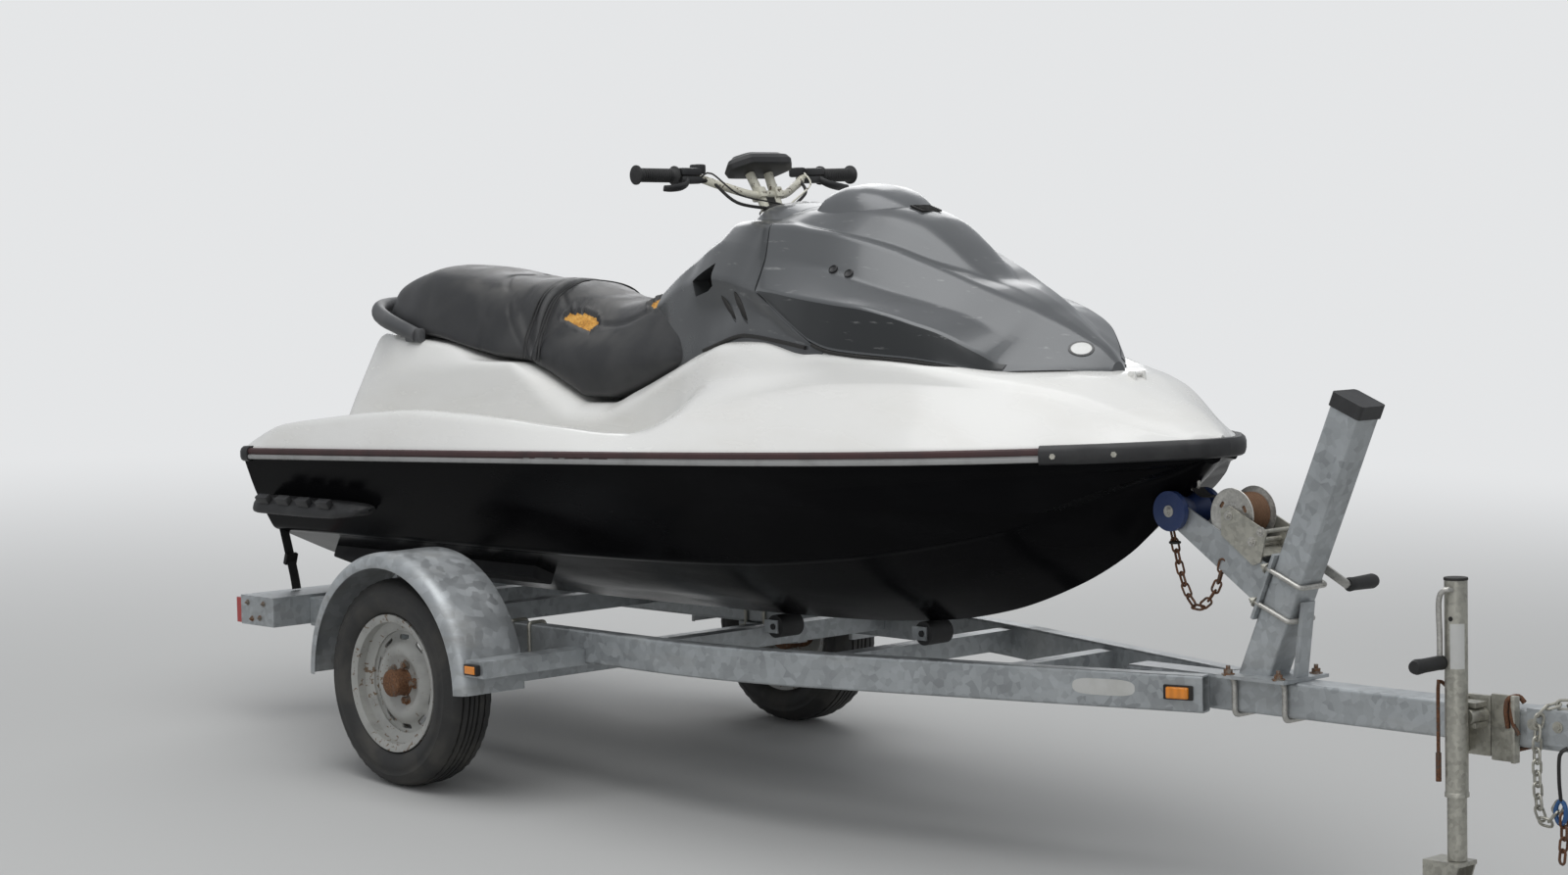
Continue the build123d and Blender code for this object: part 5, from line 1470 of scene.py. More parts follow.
# Handlebar, drawn about its stem
barShape = {
    "stem": (690, 0, 1470), "lean": 25, "end": (584.1, 385, 1582.8), "knee": (596.1, 215, 1579.8),
    "bend": (628, 140, 1556), "clamp": (662, 60, 1530), "middle": (664, 0, 1529), "grip": 132, "housing": 66,
    "riser": [(2, 22, -14), (0, 26, 60), (-4, 33, 128)],
    "foot": [(0, 0), (16, 0), (18, 3), (18, 14), (15, 18), (0, 18)],
    "footPlace": (24, -22), "stud": [(0, -2), (5, -2), (5, 4), (4, 5), (0, 5)], "studs": (12, 92), "studLine": 38,
    "riserBlock": ((40, 26, 30), 29, 66), "stemBlock": ((9, 44, 66), (3, 0, 22)),
    "core": [(0, -78), (24, -78), (24, 4), (20, 10), (0, 10)],
    "boot": [(0, -20), (66, -20), (62, -8), (50, -2), (46, 8), (38, 12), (36, 22), (28, 26), (0, 26)],
    "gripEnd": [(0, 0), (21, 0), (25, 3), (25, 7), (20, 10), (18, 15)], "ribs": 14,
    "button": [(0, 0), (8, 0), (8, 5), (6, 7), (0, 7)],
    "lever": [(20, 10, 18), (36, 22, 4), (46, 30, -22), (44, 34, -52), (38, 34, -70)],
    "pad": [(0, 40, 92), (5, 49, 108), (18, 51, 114), (30, 46, 106), (37, 36, 92), (41, 33, 88)], "padRound": 11,
    "padPlace": (6, 0, 128), "padTop": ((30, 130, 5), (6, 0, 169)),
}


def handleEnd(s, side):
    x, y, z = s["end"]
    return facing((x, side * y, z), (12, -side * 170, -3))


def makeTubes(s, stem):
    bars = Piece("barTubes", "handlebar", "seal", "zinc")
    start = Vector(s["end"]).lerp(Vector(s["knee"]), 0.03)
    bars.add(tube(smoothed(bothSides([start, s["knee"], s["bend"], s["clamp"], s["middle"]]), 9), 11, 16))
    for side in (1, -1):
        riser = smoothed([stem @ Vector((x, side * y, z)) for x, y, z in s["riser"]], 12)
        bars.add(tube(riser, [15] + [12.5] * (len(riser) - 1), 16))
        size, y, z = s["riserBlock"]
        bars.add(block(size, 6), stem @ Matrix.Translation((0, side * y, z)))
        y, z = s["footPlace"]
        bars.add(lathe(s["foot"], 20), stem @ Matrix.Translation((0, side * y, z)))
        for reach in s["studs"]:
            bars.add(lathe(s["stud"], 12), stem @ Matrix.Translation((0, side * s["studLine"], reach))
                     @ Matrix.Rotation(-side * math.pi / 2, 4, "X"), 2)
    size, place = s["stemBlock"]
    bars.add(block(size, 2), stem @ Matrix.Translation(place), 1)
    bars.add(lathe(s["core"], 24), stem, 1)
    bars.done("steering", "handlebar", sharp=40)
    boot = Piece("stemBoot", "seal")
    boot.add(lathe(s["boot"], 30), stem)
    boot.done("base", slot="console")


def makeGrips(s):
    long, pitch = s["grip"], (s["grip"] - 36) / s["ribs"]
    profile = list(s["gripEnd"])
    for k in range(s["ribs"]):
        z = 18 + k * pitch
        profile += [(18, z), (18, z + 4.6), (16.4, z + 5.6), (16.4, z + pitch - 0.8)]
    profile += [(18, long - 16), (20, long - 12), (25, long - 8), (25, long - 4), (19, long), (0, long)]
    grips = Piece("gripRubbers", "grips")
    for side in (1, -1):
        grips.add(lathe(profile, 24), handleEnd(s, side))
    grips.done("steering", "grips", sharp=40)


def makeSwitches(s, stem):
    housing = Piece("switchHousings", "switches", "seal", "red")
    cables = Piece("barCables", "seal", "handlebar")
    z, long = s["grip"] + 2, s["housing"]
    for side in (1, -1):
        place = handleEnd(s, side)
        for lower, grow in ((1, 0), (-1, -2)):
            housing.add(block((50 + grow, 20, long), 7, 2),
                        place @ Matrix.Translation((0, lower * 10.4, z + long / 2)))
        housing.add(block((40, 26, 26), 6, 2), place @ Matrix.Translation((-8, side * 14 - 4, z + long + 8)))
        housing.add(tube([(-26, 0, z + 4), (-27, 0, z + long / 2), (-26, 0, z + long - 4)], 2.0, 8), place, 1)
        housing.add(lathe(s["button"], 18), place @ Matrix.Translation((-22, 4, z + 20))
                    @ Matrix.Rotation(-math.pi / 2, 4, "Y"), 1 if side < 0 else 2)
        housing.add(block((16, 8, 22), 2), place @ Matrix.Translation((-24, 2, z + 44)), 1)
        lever = smoothed([(x, -y * side, z + rise) for x, y, rise in s["lever"]], 7)
        swell = [9 + 2.5 * math.sin(math.pi * k / (len(lever) - 1)) for k in range(len(lever))]
        housing.add(tube(lever, swell, 12, flat=0.6), place)
        start = place @ Vector((14, 12 * -side, z + long - 6))
        end = stem @ Vector((16, side * 14, -6))
        middle = start.lerp(end, 0.45) + Vector((26, side * 8, -16 if side < 0 else 8))
        lead = start + (place.to_3x3() @ Vector((0.2, 0, 1))) * 34
        cables.add(tube(smoothed([start, lead, middle, end + Vector((20, 0, 16)), end], 8), 4.2, 10))
        sleeve = smoothed([start, lead], 8)
        cables.add(tube(sleeve, [7.5 - 2.5 * k / (len(sleeve) - 1) for k in range(len(sleeve))], 12))
        thin = [start + Vector((4, 0, 6)), lead + Vector((10, side * 6, 18)), middle + Vector((14, side * 4, 20)),
                end + Vector((26, 0, 30)), end + Vector((8, 0, 4))]
        cables.add(tube(smoothed(thin, 8), 2.4, 8), finish=1 if side > 0 else 0)
    housing.done("steering", "switches", sharp=36)
    cables.done("steering", slot="switches", sharp=50)


def makePad(s, stem):
    pad = Piece("barPadCover", "bar_pad")
    rings = []
    for rise, deep, half in s["pad"]:
        right = [(deep, half * 0.62), (deep * 0.1, half), (-deep, half * 0.72)]
        corners = right + [(x, -y) for x, y in reversed(right)]
        ring = []
        for a, b, c in zip([corners[-1], *corners[:-1]], corners, [*corners[1:], corners[0]]):
            here, back, on = Vector(b), Vector(a), Vector(c)
            p, q = (here + (other - here).normalized() * s["padRound"] for other in (back, on))
            ring += [tuple(p * (1 - t) ** 2 + here * 2 * t * (1 - t) + q * t * t) for t in (0, 0.33, 0.67, 1)]
        rings.append([(x, y, rise) for x, y in ring])
    pad.add(woven(rings), stem @ Matrix.Translation(s["padPlace"]))
    size, place = s["padTop"]
    pad.add(block(size, 2), stem @ Matrix.Translation(place))
    pad.done("steering", "bar_pad", sharp=28)


def makeBars(s):
    lean = math.radians(s["lean"])
    stem = facing(s["stem"], (-math.sin(lean), 0, math.cos(lean)), (math.cos(lean), 0, math.sin(lean)))
    makeTubes(s, stem)
    makeGrips(s)
    makeSwitches(s, stem)
    makePad(s, stem)


makeBars(barShape)
print("bars made")
# Wheels and fenders, turned about their axles
wheelShape = {
    "middle": 699, "axle": 273.5, "steps": 96,
    "tyre": [(165.5, 53), (182, 55), (186, 62), (197, 72.5), (212, 76), (223, 77.5), (226, 76), (238, 75.4),
             (241, 76.2), (251.5, 70.5), (262, 63), (266.5, 59.5), (271, 47), (273.2, 38), (267, 37), (267, 33),
             (273.4, 32), (273.5, 18), (266.5, 17), (266.5, 13), (273.5, 12), (273.5, 2.2), (267.5, 1.6)],
    "rim": [(181, 64), (182, 60), (181, 57), (168, 54), (166, 30), (141, 20), (140, -16), (166, -28), (166, -54),
            (181, -57), (181, -64), (176, -64), (161, -58), (161, -31), (135, -19), (135, 12), (124, 12),
            (112, 15), (103, 22), (95, 30), (87, 33), (78, 32), (70, 27), (60, 20), (38, 20), (38, 25), (58, 25),
            (68, 32), (77, 37), (88, 38), (97, 35), (106, 27), (114, 20), (125, 17), (135, 17), (135, 23),
            (161, 33), (161, 58), (176, 64)],
    "hub": [(14.5, -62), (58, -62), (62, -58), (62, -22), (45, -20), (45, 8), (62, 10), (62, 19.4), (37, 19.4),
            (36.5, 27), (34, 29), (34, 55), (36, 57), (35, 66), (29, 71), (14, 72.5), (0, 72.6), (0, 44),
            (14.5, 44)],
    "slots": 10, "slotRadius": 118, "lugs": 5, "lugRadius": 49,
    "valve": [(0, 60), (5, 60), (5, 76), (3.5, 78), (0, 78)], "valvePlace": (151, 0, -38),
    "notch": {"from": 260, "to": 273.3, "beyond": 37.5, "depth": 2.4, "turn": 3.75},
}


def makeWheels(s):
    for side, hand in ((1, "left"), (-1, "right")):
        place = facing((0, side * s["middle"], s["axle"]), (0, side, 0), (-side, 0, 0))
        tyre = lathe(s["tyre"] + [(r, -z) for r, z in reversed(s["tyre"])], s["steps"])
        n = s["notch"]
        for spot in tyre.verts:
            radius = math.hypot(spot.co.x, spot.co.y)
            turn = round(math.degrees(math.atan2(spot.co.y, spot.co.x)) / n["turn"])
            if n["from"] < radius < n["to"] and abs(spot.co.z) > n["beyond"] and turn % 2:
                spot.co.xy *= (radius - n["depth"]) / radius
        Piece(f"tyreBody_{hand}", "tyre").add(tyre, place).done(f"wheel_{hand}", f"tyre_{hand}", sharp=38)
        rim = Piece(f"rimDisc_{hand}", "rim").add(lathe(s["rim"], 60), place)
        rim = rim.done(f"wheel_{hand}", f"rim_{hand}", sharp=40)
        cutters = []
        for k in range(s["slots"]):
            turn = math.radians(360 * (k + 0.5) / s["slots"])
            cutters.append(block((13, 40, 60), 6.4, 4))
            cutters[-1].transform(place @ Matrix.Rotation(turn, 4, "Z")
                                  @ Matrix.Translation((s["slotRadius"], 0, 18)))
        carved(rim, *cutters, sharp=40)
        hub = Piece(f"hubDrum_{hand}", "hub", "brightSteel")
        hub.add(lathe(s["hub"], 40), place)
        hub.add(lathe(s["valve"], 10), place @ Matrix.Translation(s["valvePlace"]), 1)
        hub.done(f"wheel_{hand}", f"hub_{hand}", sharp=36)
        lugs = []
        for k in range(s["lugs"]):
            turn = 2 * math.pi * k / s["lugs"]
            spot = place @ Vector((s["lugRadius"] * math.cos(turn), s["lugRadius"] * math.sin(turn), 26))
            lugs.append((*spot, 0, side, 0))
        makeBolts(f"wheelBolts_{hand}", lugs, 9.5, f"wheel_{hand}", f"hub_{hand}", "rustBolt", head=12,
                  washer=1.5, shank=3)


fenderShape = {
    "axle": 273.5, "steps": 64, "bolts": (12, 168), "boltRadius": 345, "boltLine": 700,
    "sheet": [(331, 590.5), (342, 590.5), (344, 592), (345, 596), (345, 640), (344.2, 646), (344.2, 738),
              (345, 744), (345, 758), (343.5, 772), (337, 784.5), (326, 792), (314, 795), (307, 795),
              (305, 793.5), (307, 792), (314, 792), (325, 789.2), (335, 782.5), (340.8, 771), (342, 758),
              (342, 744), (341.2, 738), (341.2, 646), (342, 640), (342, 597), (340, 593), (331, 593)],
}


def makeFenders(s):
    for side, hand in ((1, "left"), (-1, "right")):
        place = facing((0, 0, s["axle"]), (0, side, 0), (-side, 0, 0))
        fender = Piece(f"fenderSkin_{hand}", "fender")
        fender.add(lathe(s["sheet"], s["steps"], 180), place)
        fender.done("base", f"fender_{hand}", sharp=36)
        bolts = []
        for turn in s["bolts"]:
            across, up = math.cos(math.radians(turn)), math.sin(math.radians(turn))
            reach = s["boltRadius"]
            bolts.append((reach * across, side * s["boltLine"], s["axle"] + reach * up, across, 0, up))
        makeBolts(f"fenderBolts_{hand}", bolts, 6.5, "base", f"fender_{hand}", "zinc", head=4.5)


makeWheels(wheelShape)
makeFenders(fenderShape)
print("wheels and fenders made")
# Fittings of the trailer
trailerShape = {
    "beamY": 422.5, "beamOut": 445, "beamTop": 412, "beamLow": 327, "bend": (950, -0.3), "axleBolts": (112, 188),
    "axlePlate": (112, 62, 6), "marker": (2101, 372), "patch": (1924, 374, 78, 19), "outward": (0.287, 0.958, 0),
    "markerBlocks": (((72, 34, 7), 3, 2, 2, 0), ((54, 27, 13), 5, 3, 8, 1)),  # size, bevel, steps, height, finish
    "sideMarker": (378, 786, 345), "sideBlocks": (((52, 14, 28), 2, 0, 0), ((40, 7, 20), 3, 6.5, 1)),
    "lampBolts": ((-960, 398), (-900, 356), (-880, 398), (-940, 352)), "lampSide": 570.3,
    "strap": [(-1036, 400, 642), (-1019, 400, 596), (-975, 400, 470), (-962, 400, 421)],
    "strapHalf": 15, "strapThick": (1.2, 0, 0), "buckleTilt": 0.33,
    "buckle": (-988, 400, 508), "stopBlock": (-690, 456, 334),
}


def beamFace(s, x):
    start, slope = s["bend"]
    run = max(0, x - start)
    return s["beamY"] + slope * run + (s["beamOut"] - s["beamY"]) * (math.hypot(1, slope) if run else 1)


def roundedPath(points, radius):
    radii = [0] + [radius] * (len(points) - 2) + [0]
    return roundedLine(points, radii, 4)


def ribbon(route, half, out):
    return woven([[p + Vector(out) * t + Vector((0, w * half, 0)) for w, t in ((-1, -1), (1, -1), (1, 1), (-1, 1))]
                  for p in route])


def hoop(middle, one, other, wire, sides, count):
    turns = [2 * math.pi * k / count for k in range(count)]
    return tube([Vector(middle) + Vector(one) * math.cos(t) + Vector(other) * math.sin(t) for t in turns], wire,
                sides, loop=True)


def addRods(piece, rows):
    for points, pitch, radius, finish in rows:
        piece.add(tube(smoothed(points, pitch) if pitch else points, radius, 10), finish=finish)


def addBlocks(piece, rows):
    for size, bevel, place, finish in rows:
        piece.add(block(size, bevel), Matrix.Translation(place), finish)


def beamSpot(s, x, z, side, stand=0.0):
    across, along, _ = s["outward"]
    return facing((x, side * (beamFace(s, x) + stand), z), (across, side * along, 0), (1, side * s["bend"][1], 0))


def makePatch(s):
    x, z, long, high = s["patch"]
    waves = [(math.cos(t), math.sin(t)) for t in (2 * math.pi * k / 40 for k in range(40))]
    ring = [(long * math.copysign(abs(c) ** 0.5, c), high * math.copysign(abs(d) ** 0.7, d)) for c, d in waves]
    patch = Piece("wornPatch", "label")
    patch.add(prismMesh(ring, 0, 0.7, "Z"), beamSpot(s, x, z, -1, 0.3))
    patch.done("base", slot="side_beam_right")


def makeFrameParts(s):
    rods, marks = Piece("frameUBolts", "zinc"), Piece("beamMarkers", "seal", "amber")
    high, low, out, back = s["beamTop"] + 4, s["beamLow"] - 12, s["beamOut"] + 5, s["beamOut"] - 50
    nuts, lampBolts = [], []
    for side in (1, -1):
        for x in s["axleBolts"]:
            corners = [(out, low), (out, high), (back, high), (back, low)]
            rods.add(tube(roundedPath([(x, side * y, z) for y, z in corners], 12), 5, 10))
            nuts += [(x, side * y, low + 2, 0, 0, -1) for y in (out, back)]
        middle = sum(s["axleBolts"]) / 2
        rods.add(block(s["axlePlate"], 1.5), Matrix.Translation((middle, side * s["beamY"], s["beamLow"] - 9)))
        place = beamSpot(s, *s["marker"], side)
        for size, bevel, steps, rise, finish in s["markerBlocks"]:
            marks.add(block(size, bevel, steps), place @ Matrix.Translation((0, 0, rise)), finish)
        x, y, z = s["sideMarker"]
        for size, steps, stand, finish in s["sideBlocks"]:
            marks.add(block(size, 3, steps), Matrix.Translation((x, side * (y + stand), z)), finish)
        lampBolts += [(x, side * s["lampSide"], z, 0, side, 0) for x, z in s["lampBolts"]]
    rods.done("base", slot="axle", sharp=40)
    marks.done("base", "side_markers", sharp=40)
    makeBolts("axleNuts", nuts, 8, "base", "axle", "rustBolt", head=8, seed=5)
    makeBolts("lampBoardBolts", lampBolts, 5.5, "base", "lamp_board", "rustBolt", head=4)


def makeStraps(s):
    straps = Piece("sternStraps", "webbing", "seal")
    for side in (1, -1):
        route = smoothed([(x, side * y, z) for x, y, z in s["strap"]], 20)
        straps.add(ribbon(route, s["strapHalf"], s["strapThick"]))
        x, y, z = s["buckle"]
        place = Matrix.Translation((x, side * y, z)) @ Matrix.Rotation(s["buckleTilt"], 4, "Y")
        straps.add(block((14, 40, 34), 3), place, 1)
        x, y, z = s["stopBlock"]
        straps.add(block((62, 20, 44), 4), Matrix.Translation((x, side * y, z)), 1)
    straps.done("base", slot="bunks", sharp=40)


winchShape = {
    "drum": (2212, 776), "post": (2266, 0, 420), "lean": 23,
    "flange": [(8.4, 0), (20, 0), (24, -1.5), (52, -1.5), (56, 0.5), (60.5, 0.5), (61, 2), (60, 3), (55, 3),
               (50, 0.8), (25, 0.8), (19, 2.6), (8.4, 2.6)], "flangeAt": 38.8, "core": 16, "holes": (3, 37),
    "turns": 24, "turnPitch": 3.1, "strap": [(2188, 0, 817), (2140, 0, 812), (2104, 0, 812), (2082, 0, 828)],
    "strapHalf": 21, "strapThick": (0, 0, 1.3),
    "tieRods": ((2303, 744, 5), (2277, 721, 6), (2268, 690, 5), (2212, 776, 8)),
    "tieHalf": 53, "tray": ((52, 96, 4), (2284, 0, 700), 0.42), "eye": (2072, 0, 838), "chainTie": (2041, -34, 704),
    "crank": {"from": (2285, 715), "to": (2449, 626), "y": 62,
              "grip": [(0, 0), (13, 0), (16, 4), (15, 20), (16, 60), (17, 88), (14, 98), (0, 100)]},
    "loops": (158, 242), "loopBack": -58, "loopSide": 47, "plate": (2288, 70, 68.5), "plateTop": 420.6,
    "sideBolts": ((2212, 776), (2277, 721), (2303, 744)), "sideFace": 53.4, "roller": (2052, 68.2, 778.5),
    "chain": [(2026, -30, 748), (2040, -34, 706), (2066, -36, 618), (2100, -36, 562), (2138, -38, 576),
              (2172, -42, 622), (2186, -46, 660)],
}


def makeDrum(s, drum):
    wheels = Piece("spoolFlanges", "brightSteel")
    for turn in (0, math.pi):
        wheels.add(lathe(s["flange"], 48), drum @ Matrix.Rotation(turn, 4, "X")
                   @ Matrix.Translation((0, 0, s["flangeAt"])))
    core, half = s["core"], s["flangeAt"] + 0.2
    wheels.add(lathe([(8.4, -half), (core, -half), (core, half), (8.4, half)], 24), drum)
    spool = wheels.done("base", "winch_drum", sharp=34)
    cutters = []
    for k in range(s["holes"][0]):
        cutters.append(block((9, 17, 100), 4.4, 3))
        cutters[-1].transform(drum @ Matrix.Rotation(2.1 * k + 2.5, 4, "Z")
                              @ Matrix.Translation((s["holes"][1], 0, 0)))
    carved(spool, *cutters, sharp=34)
    ridges = [(core + 0.2, -37.5)]
    for k in range(s["turns"]):
        rise = s["turnPitch"] * k
        ridges += [(47 + (k % 3) * 0.5, -37 + rise), (44.5, -35.4 + rise)]
    wound = Piece("woundStrap", "wound", "seal", "brightSteel")
    wound.add(lathe(ridges + [(core + 0.2, 37.8)], 40), drum)
    wound.add(ribbon(smoothed(s["strap"], 14), s["strapHalf"], s["strapThick"]), finish=1)
    wound.add(hoop(s["eye"], (13, 0, 0), (0, 0, 15), 4, 8, 16), finish=2)
    wound.done("base", slot="winch_drum", sharp=40)


def makeWinch(s):
    lean = math.radians(s["lean"])
    post = facing(s["post"], (math.sin(lean), 0, math.cos(lean)), (math.cos(lean), 0, -math.sin(lean)))
    makeDrum(s, facing((s["drum"][0], 0, s["drum"][1]), (0, -1, 0)))
    parts = Piece("winchFittings", "zinc", "grips", "brightSteel")
    for x, z, radius in s["tieRods"]:
        parts.add(tube([(x, -s["tieHalf"], z), (x, s["tieHalf"], z)], radius, 12))
    size, place, tilt = s["tray"]
    parts.add(block(size, 1), Matrix.Translation(place) @ Matrix.Rotation(tilt, 4, "Y"))
    c = s["crank"]
    (ax, az), (bx, bz), y = c["from"], c["to"], c["y"]
    parts.add(tube([(ax, y - 12, az), (ax, y + 6, az)], 8, 12), finish=2)
    arm = [(ax - 9, az - 8), (ax + 3, az + 11), (bx + 4, bz + 9), (bx + 9, bz), (bx - 2, bz - 9)]
    parts.add(prismMesh(arm, y - 3, y + 3), finish=2)
    parts.add(lathe(c["grip"], 18), facing((bx, y + 4, bz), (0, 1, 0)), 1)
    back, out = s["loopBack"], s["loopSide"]
    for h in s["loops"]:
        parts.add(tube(roundedPath([(back, -out, h), (out, -out, h), (out, out, h), (back, out, h)], 11), 6, 10),
                  post, 2)
    middle, reach, half = s["plate"]
    for x in (middle - reach, middle + reach):
        right = [(x, -half, 430), (x, -half, 420), (x, -46, 405), (x, -46, 326)]
        parts.add(tube(roundedPath(right + [(x, -y, z) for x, y, z in reversed(right)], 14), 6.5, 10), finish=2)
    parts.done("base", slot="winch_frame", sharp=40)
    sides = [(place, side) for place in s["sideBolts"] for side in (1, -1)]
    aim = post.to_3x3() @ Vector((-1, 0, 0))
    makeBolts("postLoopNuts", [(*(post @ Vector((back + 5, side * out, h))), *aim) for h in s["loops"]
                               for side in (1, -1)], 8, "base", "winch_post", "zinc", head=8, shank=6)
    makeBolts("plateBolts", [(x, side * half, s["plateTop"], 0, 0, 1) for x in (middle - reach, middle + reach)
                             for side in (1, -1)], 10, "base", "winch_post", "rustBolt", head=9, washer=2, shank=9)
    makeBolts("winchBolts", [(x, side * s["sideFace"], z, 0, side, 0) for (x, z), side in sides], 7.5, "base",
              "winch_frame", "brightSteel", head=6, shank=4)
    x, y, z = s["roller"]
    makeBolts("rollerBolts", [(x, side * y, z, 0, side, 0) for side in (1, -1)], 9, "base", "bow_roller",
              "brightSteel", head=5, washer=2, shank=3)
    makeChain("bowChain", s["chain"], "base", "roller_arm", "rust", 25, 17, 2.8)
    tie = Piece("chainTie", "seal")
    tie.add(hoop(s["chainTie"], (11, 0, 0), (0, 11, 0), 3.4, 8, 14))
    tie.done("base", slot="roller_arm")


jackShape = {
    "axis": (2865, -130), "top": 686, "low": 232, "tube": 24, "bore": 21.2,
    "grip": [(0, -8), (13, -8), (16, -3), (15, 12), (15, 60), (16.5, 84), (13, 94), (0, 95)],
    "gripPlace": (2845, -158, 512), "hole": (2868, -153.6, 604), "card": (500, 594, 74, -86),
    "boss": [(0, 0), (15, 0), (16.5, 4), (16.5, 46), (15, 52), (0, 52)], "bossPlace": (2877, -110, 396),
    "blocks": [  # size, bevel, place and finish of the clamp's parts
        ((60, 44, 12), 3, (2865, -84, 378), 0), ((60, 44, 12), 3, (2865, -84, 420), 0),
        ((58, 10, 128), 3, (2865, -46, 371), 0), ((8, 66, 118), 2, (2839, -73, 372), 0),
        ((64, 9, 140), 3, (2927, -45.5, 370), 0), ((10, 20, 140), 2, (2955, -52, 370), 0),
        ((120, 82, 7), 2, (2895, 0, 325), 2)],
    "rods": [  # points, pitch, radius and finish of clip, ring, shackle and link
        ([(2835, -100, 440), (2833, -126, 462), (2834, -144, 470), (2835, -152, 456), (2835, -152, 300)], 8, 4, 2),
        ([(2835, -152, 322), (2835, -152, 262)], 0, 6, 2),
        ([(2939, -54, 372), (2937, -58, 410), (2939, -52, 432), (2949, -30, 436), (2961, -26, 424)], 6, 5.5, 2),
        ([(2949, -56, 428), (2953, -60, 390), (2967, -56, 360)], 6, 4.5, 2)],
    "crankRod": [(2869, -150, 664), (2867, -160, 666), (2855, -166, 660), (2846, -164, 636), (2845, -160, 570),
                 (2845, -160, 520)],
}


def makeJack(s):
    jack = Piece("jackTube", "zinc", "seal", "rust", "label", "grips", "brightSteel")
    here, out, bore, top, low = Matrix.Translation((*s["axis"], 0)), s["tube"], s["bore"], s["top"], s["low"]
    jack.add(lathe([(bore, low), (out, low), (out, top - 3), (bore, top - 3)], 40), here)
    jack.add(lathe([(0, top - 3), (25, top - 3), (25.5, top), (24.5, top + 2.5), (0, top + 3)], 36), here, 1)
    near, far = out + 0.1, out + 1.6
    jack.add(lathe([(near, low - 1), (far, low - 1), (far, low + 7), (near, low + 9)], 36), here)
    jack.add(tube(smoothed(s["crankRod"], 7), 6, 12), finish=5)
    jack.add(lathe(s["grip"], 20), facing(s["gripPlace"], (0, -1, 0)), 4)
    jack.add(lathe([(0, 0), (5, 0), (5, 1), (0, 1.2)], 14), facing(s["hole"], (0.1, -1, 0)), 1)
    start, end, sweep, turn = s["card"]
    card = lathe([(out + 0.1, start), (out + 0.7, start), (out + 0.7, end), (out + 0.1, end)], 12, sweep)
    jack.add(card, here @ Matrix.Rotation(math.radians(turn), 4, "Z"), 3)
    jack.add(lathe(s["boss"], 28), facing(s["bossPlace"], (0.12, 1, 0)))
    addBlocks(jack, s["blocks"])
    addRods(jack, s["rods"])
    jack.done("base", "jack_outer", sharp=38)


couplerShape = {
    "sleeve": [(2978, 352), (2986, 344), (3214, 344), (3214, 414), (2978, 414)], "sides": (40.4, 44.4),
    "lid": ((238, 88, 4), (3096, 0, 414.4)), "rivets": (2992, 3052, 3160), "rivetPlace": (44.5, 384),
    "safety": [(3062, 6, 424), (3040, -20, 426), (3018, -46, 416), (3012, -56, 380), (3010, -57, 300),
               (3014, -57, 225), (3024, -58, 188), (3044, -58, 196), (3062, -58, 222)],
    "tail": [(3074, -58, 196), (3074, -58, 160), (3070, -58, 120)],
    "hook": [(3078, -50, 344), (3066, -60, 330), (3064, -60, 280), (3068, -60, 236)], "ring": (3068, -60, 212),
}


def makeCoupler(s):
    sleeve = Piece("couplerSleeve", "galvanised")
    near, far = s["sides"]
    for low, high in ((near, far), (-far, -near)):
        sleeve.add(prismMesh(s["sleeve"], low, high))
    size, place = s["lid"]
    sleeve.add(block(size, 1), Matrix.Translation(place))
    sleeve.done("base", slot="coupler", sharp=40)
    y, z = s["rivetPlace"]
    makeBolts("couplerRivets", [(x, side * y, z, 0, side, 0) for x in s["rivets"] for side in (1, -1)], 8, "base",
              "coupler", "zinc", head=3, washer=2.4, shank=0.5)
    makeChain("safetyChain", s["safety"], "base", "coupler", "zinc", 23, 19, 3.2)
    makeChain("hookChain", s["tail"], "base", "coupler", "rust", 22, 18, 3.0)
    hook = Piece("chainHook", "seal", "carabiner")
    hook.add(tube(smoothed(s["hook"], 8), 8, 12, flat=0.5))
    hook.add(hoop(s["ring"], (12, 0, 0), (0, 0, 24), 5, 10, 20), finish=1)
    hook.done("base", slot="coupler", sharp=45)


makePatch(trailerShape)
makeFrameParts(trailerShape)
makeStraps(trailerShape)
makeWinch(winchShape)
makeJack(jackShape)
makeCoupler(couplerShape)
print("trailer fittings made")
# Floor, light and background
studio = {"floor": (0.50, 0.50, 0.49), "sky": 0.5, "background": (0.78, 0.79, 0.80), "fade": (2.5, 9.0),
          "reach": 40, "glow": (0.93, 0.96, 1.0),
          "lights": (("overhead", (0.5, -1.5, 6.5), (0, 0, 0.8), 6.0, 250),
                     ("lakeSide", (-5.5, 4.5, 4.0), (0, 0, 0.8), 4.5, 120),
                     ("fill", (5.0, -6.5, 2.6), (0, 0, 0.6), 4.0, 60))}


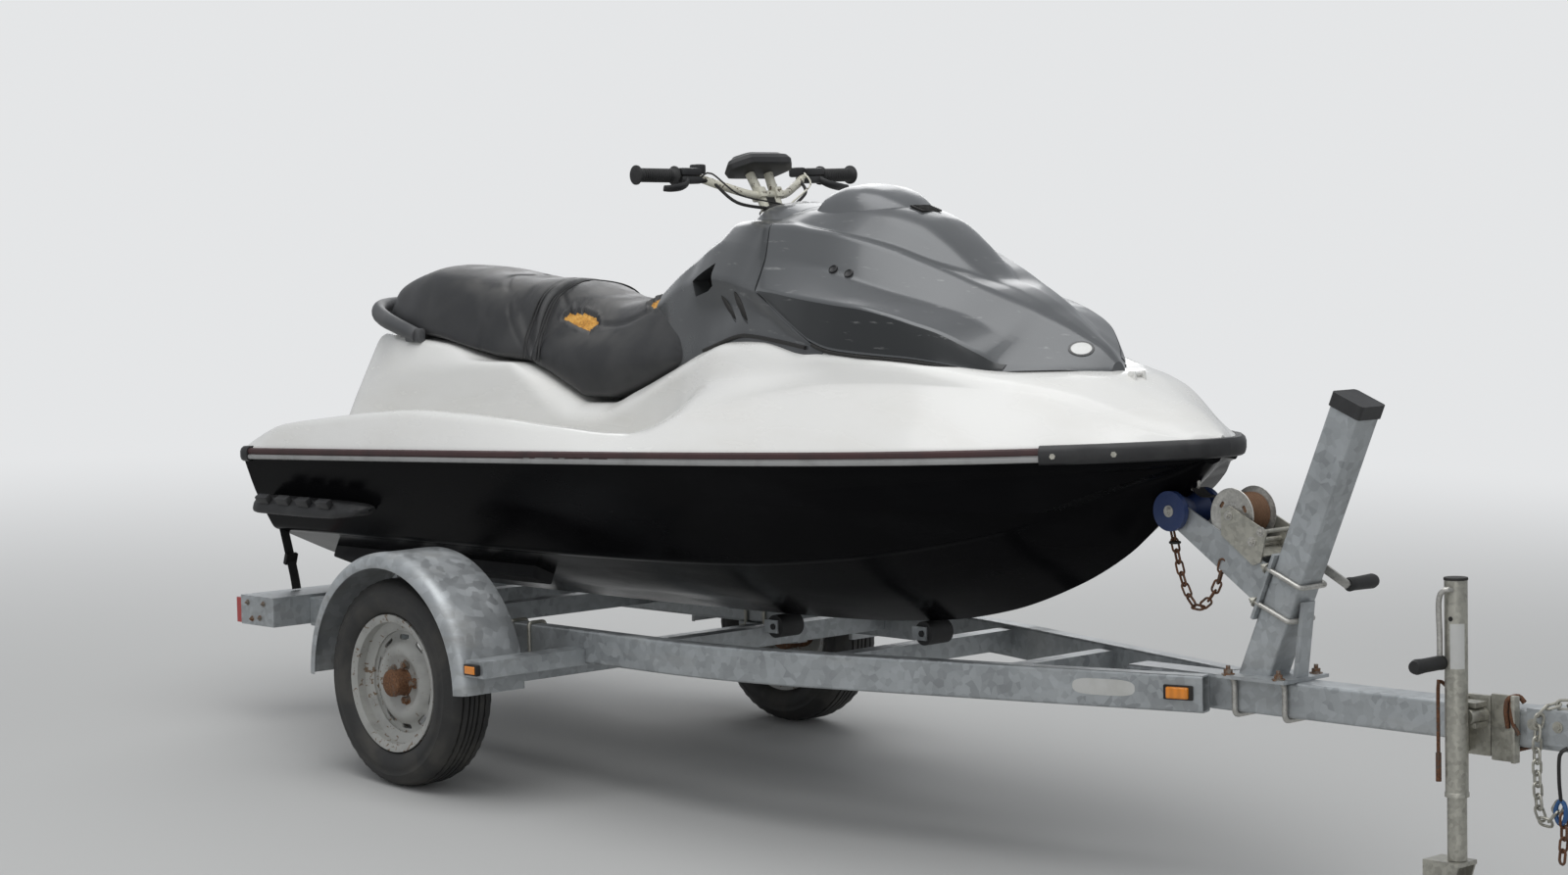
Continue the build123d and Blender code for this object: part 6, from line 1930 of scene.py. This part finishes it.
def makeStudio(s):
    mesh = bpy.data.meshes.new("floor")
    reach = s["reach"]
    corners = [(-reach, -reach, 0), (reach, -reach, 0), (reach, reach, 0), (-reach, reach, 0)]
    mesh.from_pydata(corners, [], [(0, 1, 2, 3)])
    floor = bpy.data.objects.new("floor", mesh)
    bpy.context.collection.objects.link(floor)
    paint = Finish("floorPaint", Base_Color=s["floor"], Roughness=0.9)
    away = paint.node("ShaderNodeVectorMath", {"operation": "LENGTH"}, {0: paint.place}, "Value")
    glow = paint.node("ShaderNodeEmission", {}, {"Color": s["background"], "Strength": 1.0})
    seen = paint.node("ShaderNodeLightPath", out="Is Camera Ray")
    blend = paint.node("ShaderNodeMixShader", {}, {0: seen * paint.step(away, *s["fade"]),
                                                   1: Wire(paint.tree, paint.shader.outputs[0]), 2: glow})
    paint.tree.links.new(blend.socket, paint.tree.nodes["Material Output"].inputs["Surface"])
    mesh.materials.append(paint.done())
    world = bpy.data.worlds.new("sky")
    bpy.context.scene.world = world
    world.use_nodes = True
    tree = world.node_tree
    ground = tree.nodes["Background"]
    ground.inputs["Color"].default_value = (*s["glow"], 1)
    ground.inputs["Strength"].default_value = s["sky"]
    shown = tree.nodes.new("ShaderNodeBackground")
    shown.inputs["Color"].default_value = (*s["background"], 1)
    path = tree.nodes.new("ShaderNodeLightPath")
    blend = tree.nodes.new("ShaderNodeMixShader")
    tree.links.new(path.outputs["Is Camera Ray"], blend.inputs[0])
    tree.links.new(ground.outputs[0], blend.inputs[1])
    tree.links.new(shown.outputs[0], blend.inputs[2])
    tree.links.new(blend.outputs[0], tree.nodes["World Output"].inputs["Surface"])
    for name, place, aim, size, power in s["lights"]:
        data = bpy.data.lights.new(name, "AREA")
        data.size, data.energy = size, power
        lamp = bpy.data.objects.new(name, data)
        bpy.context.collection.objects.link(lamp)
        lamp.location = place
        lamp.rotation_mode = "QUATERNION"
        lamp.rotation_quaternion = (Vector(aim) - Vector(place)).to_track_quat("-Z", "Y")
    bpy.context.scene.view_settings.view_transform = "Standard"


makeStudio(studio)
print("studio set")
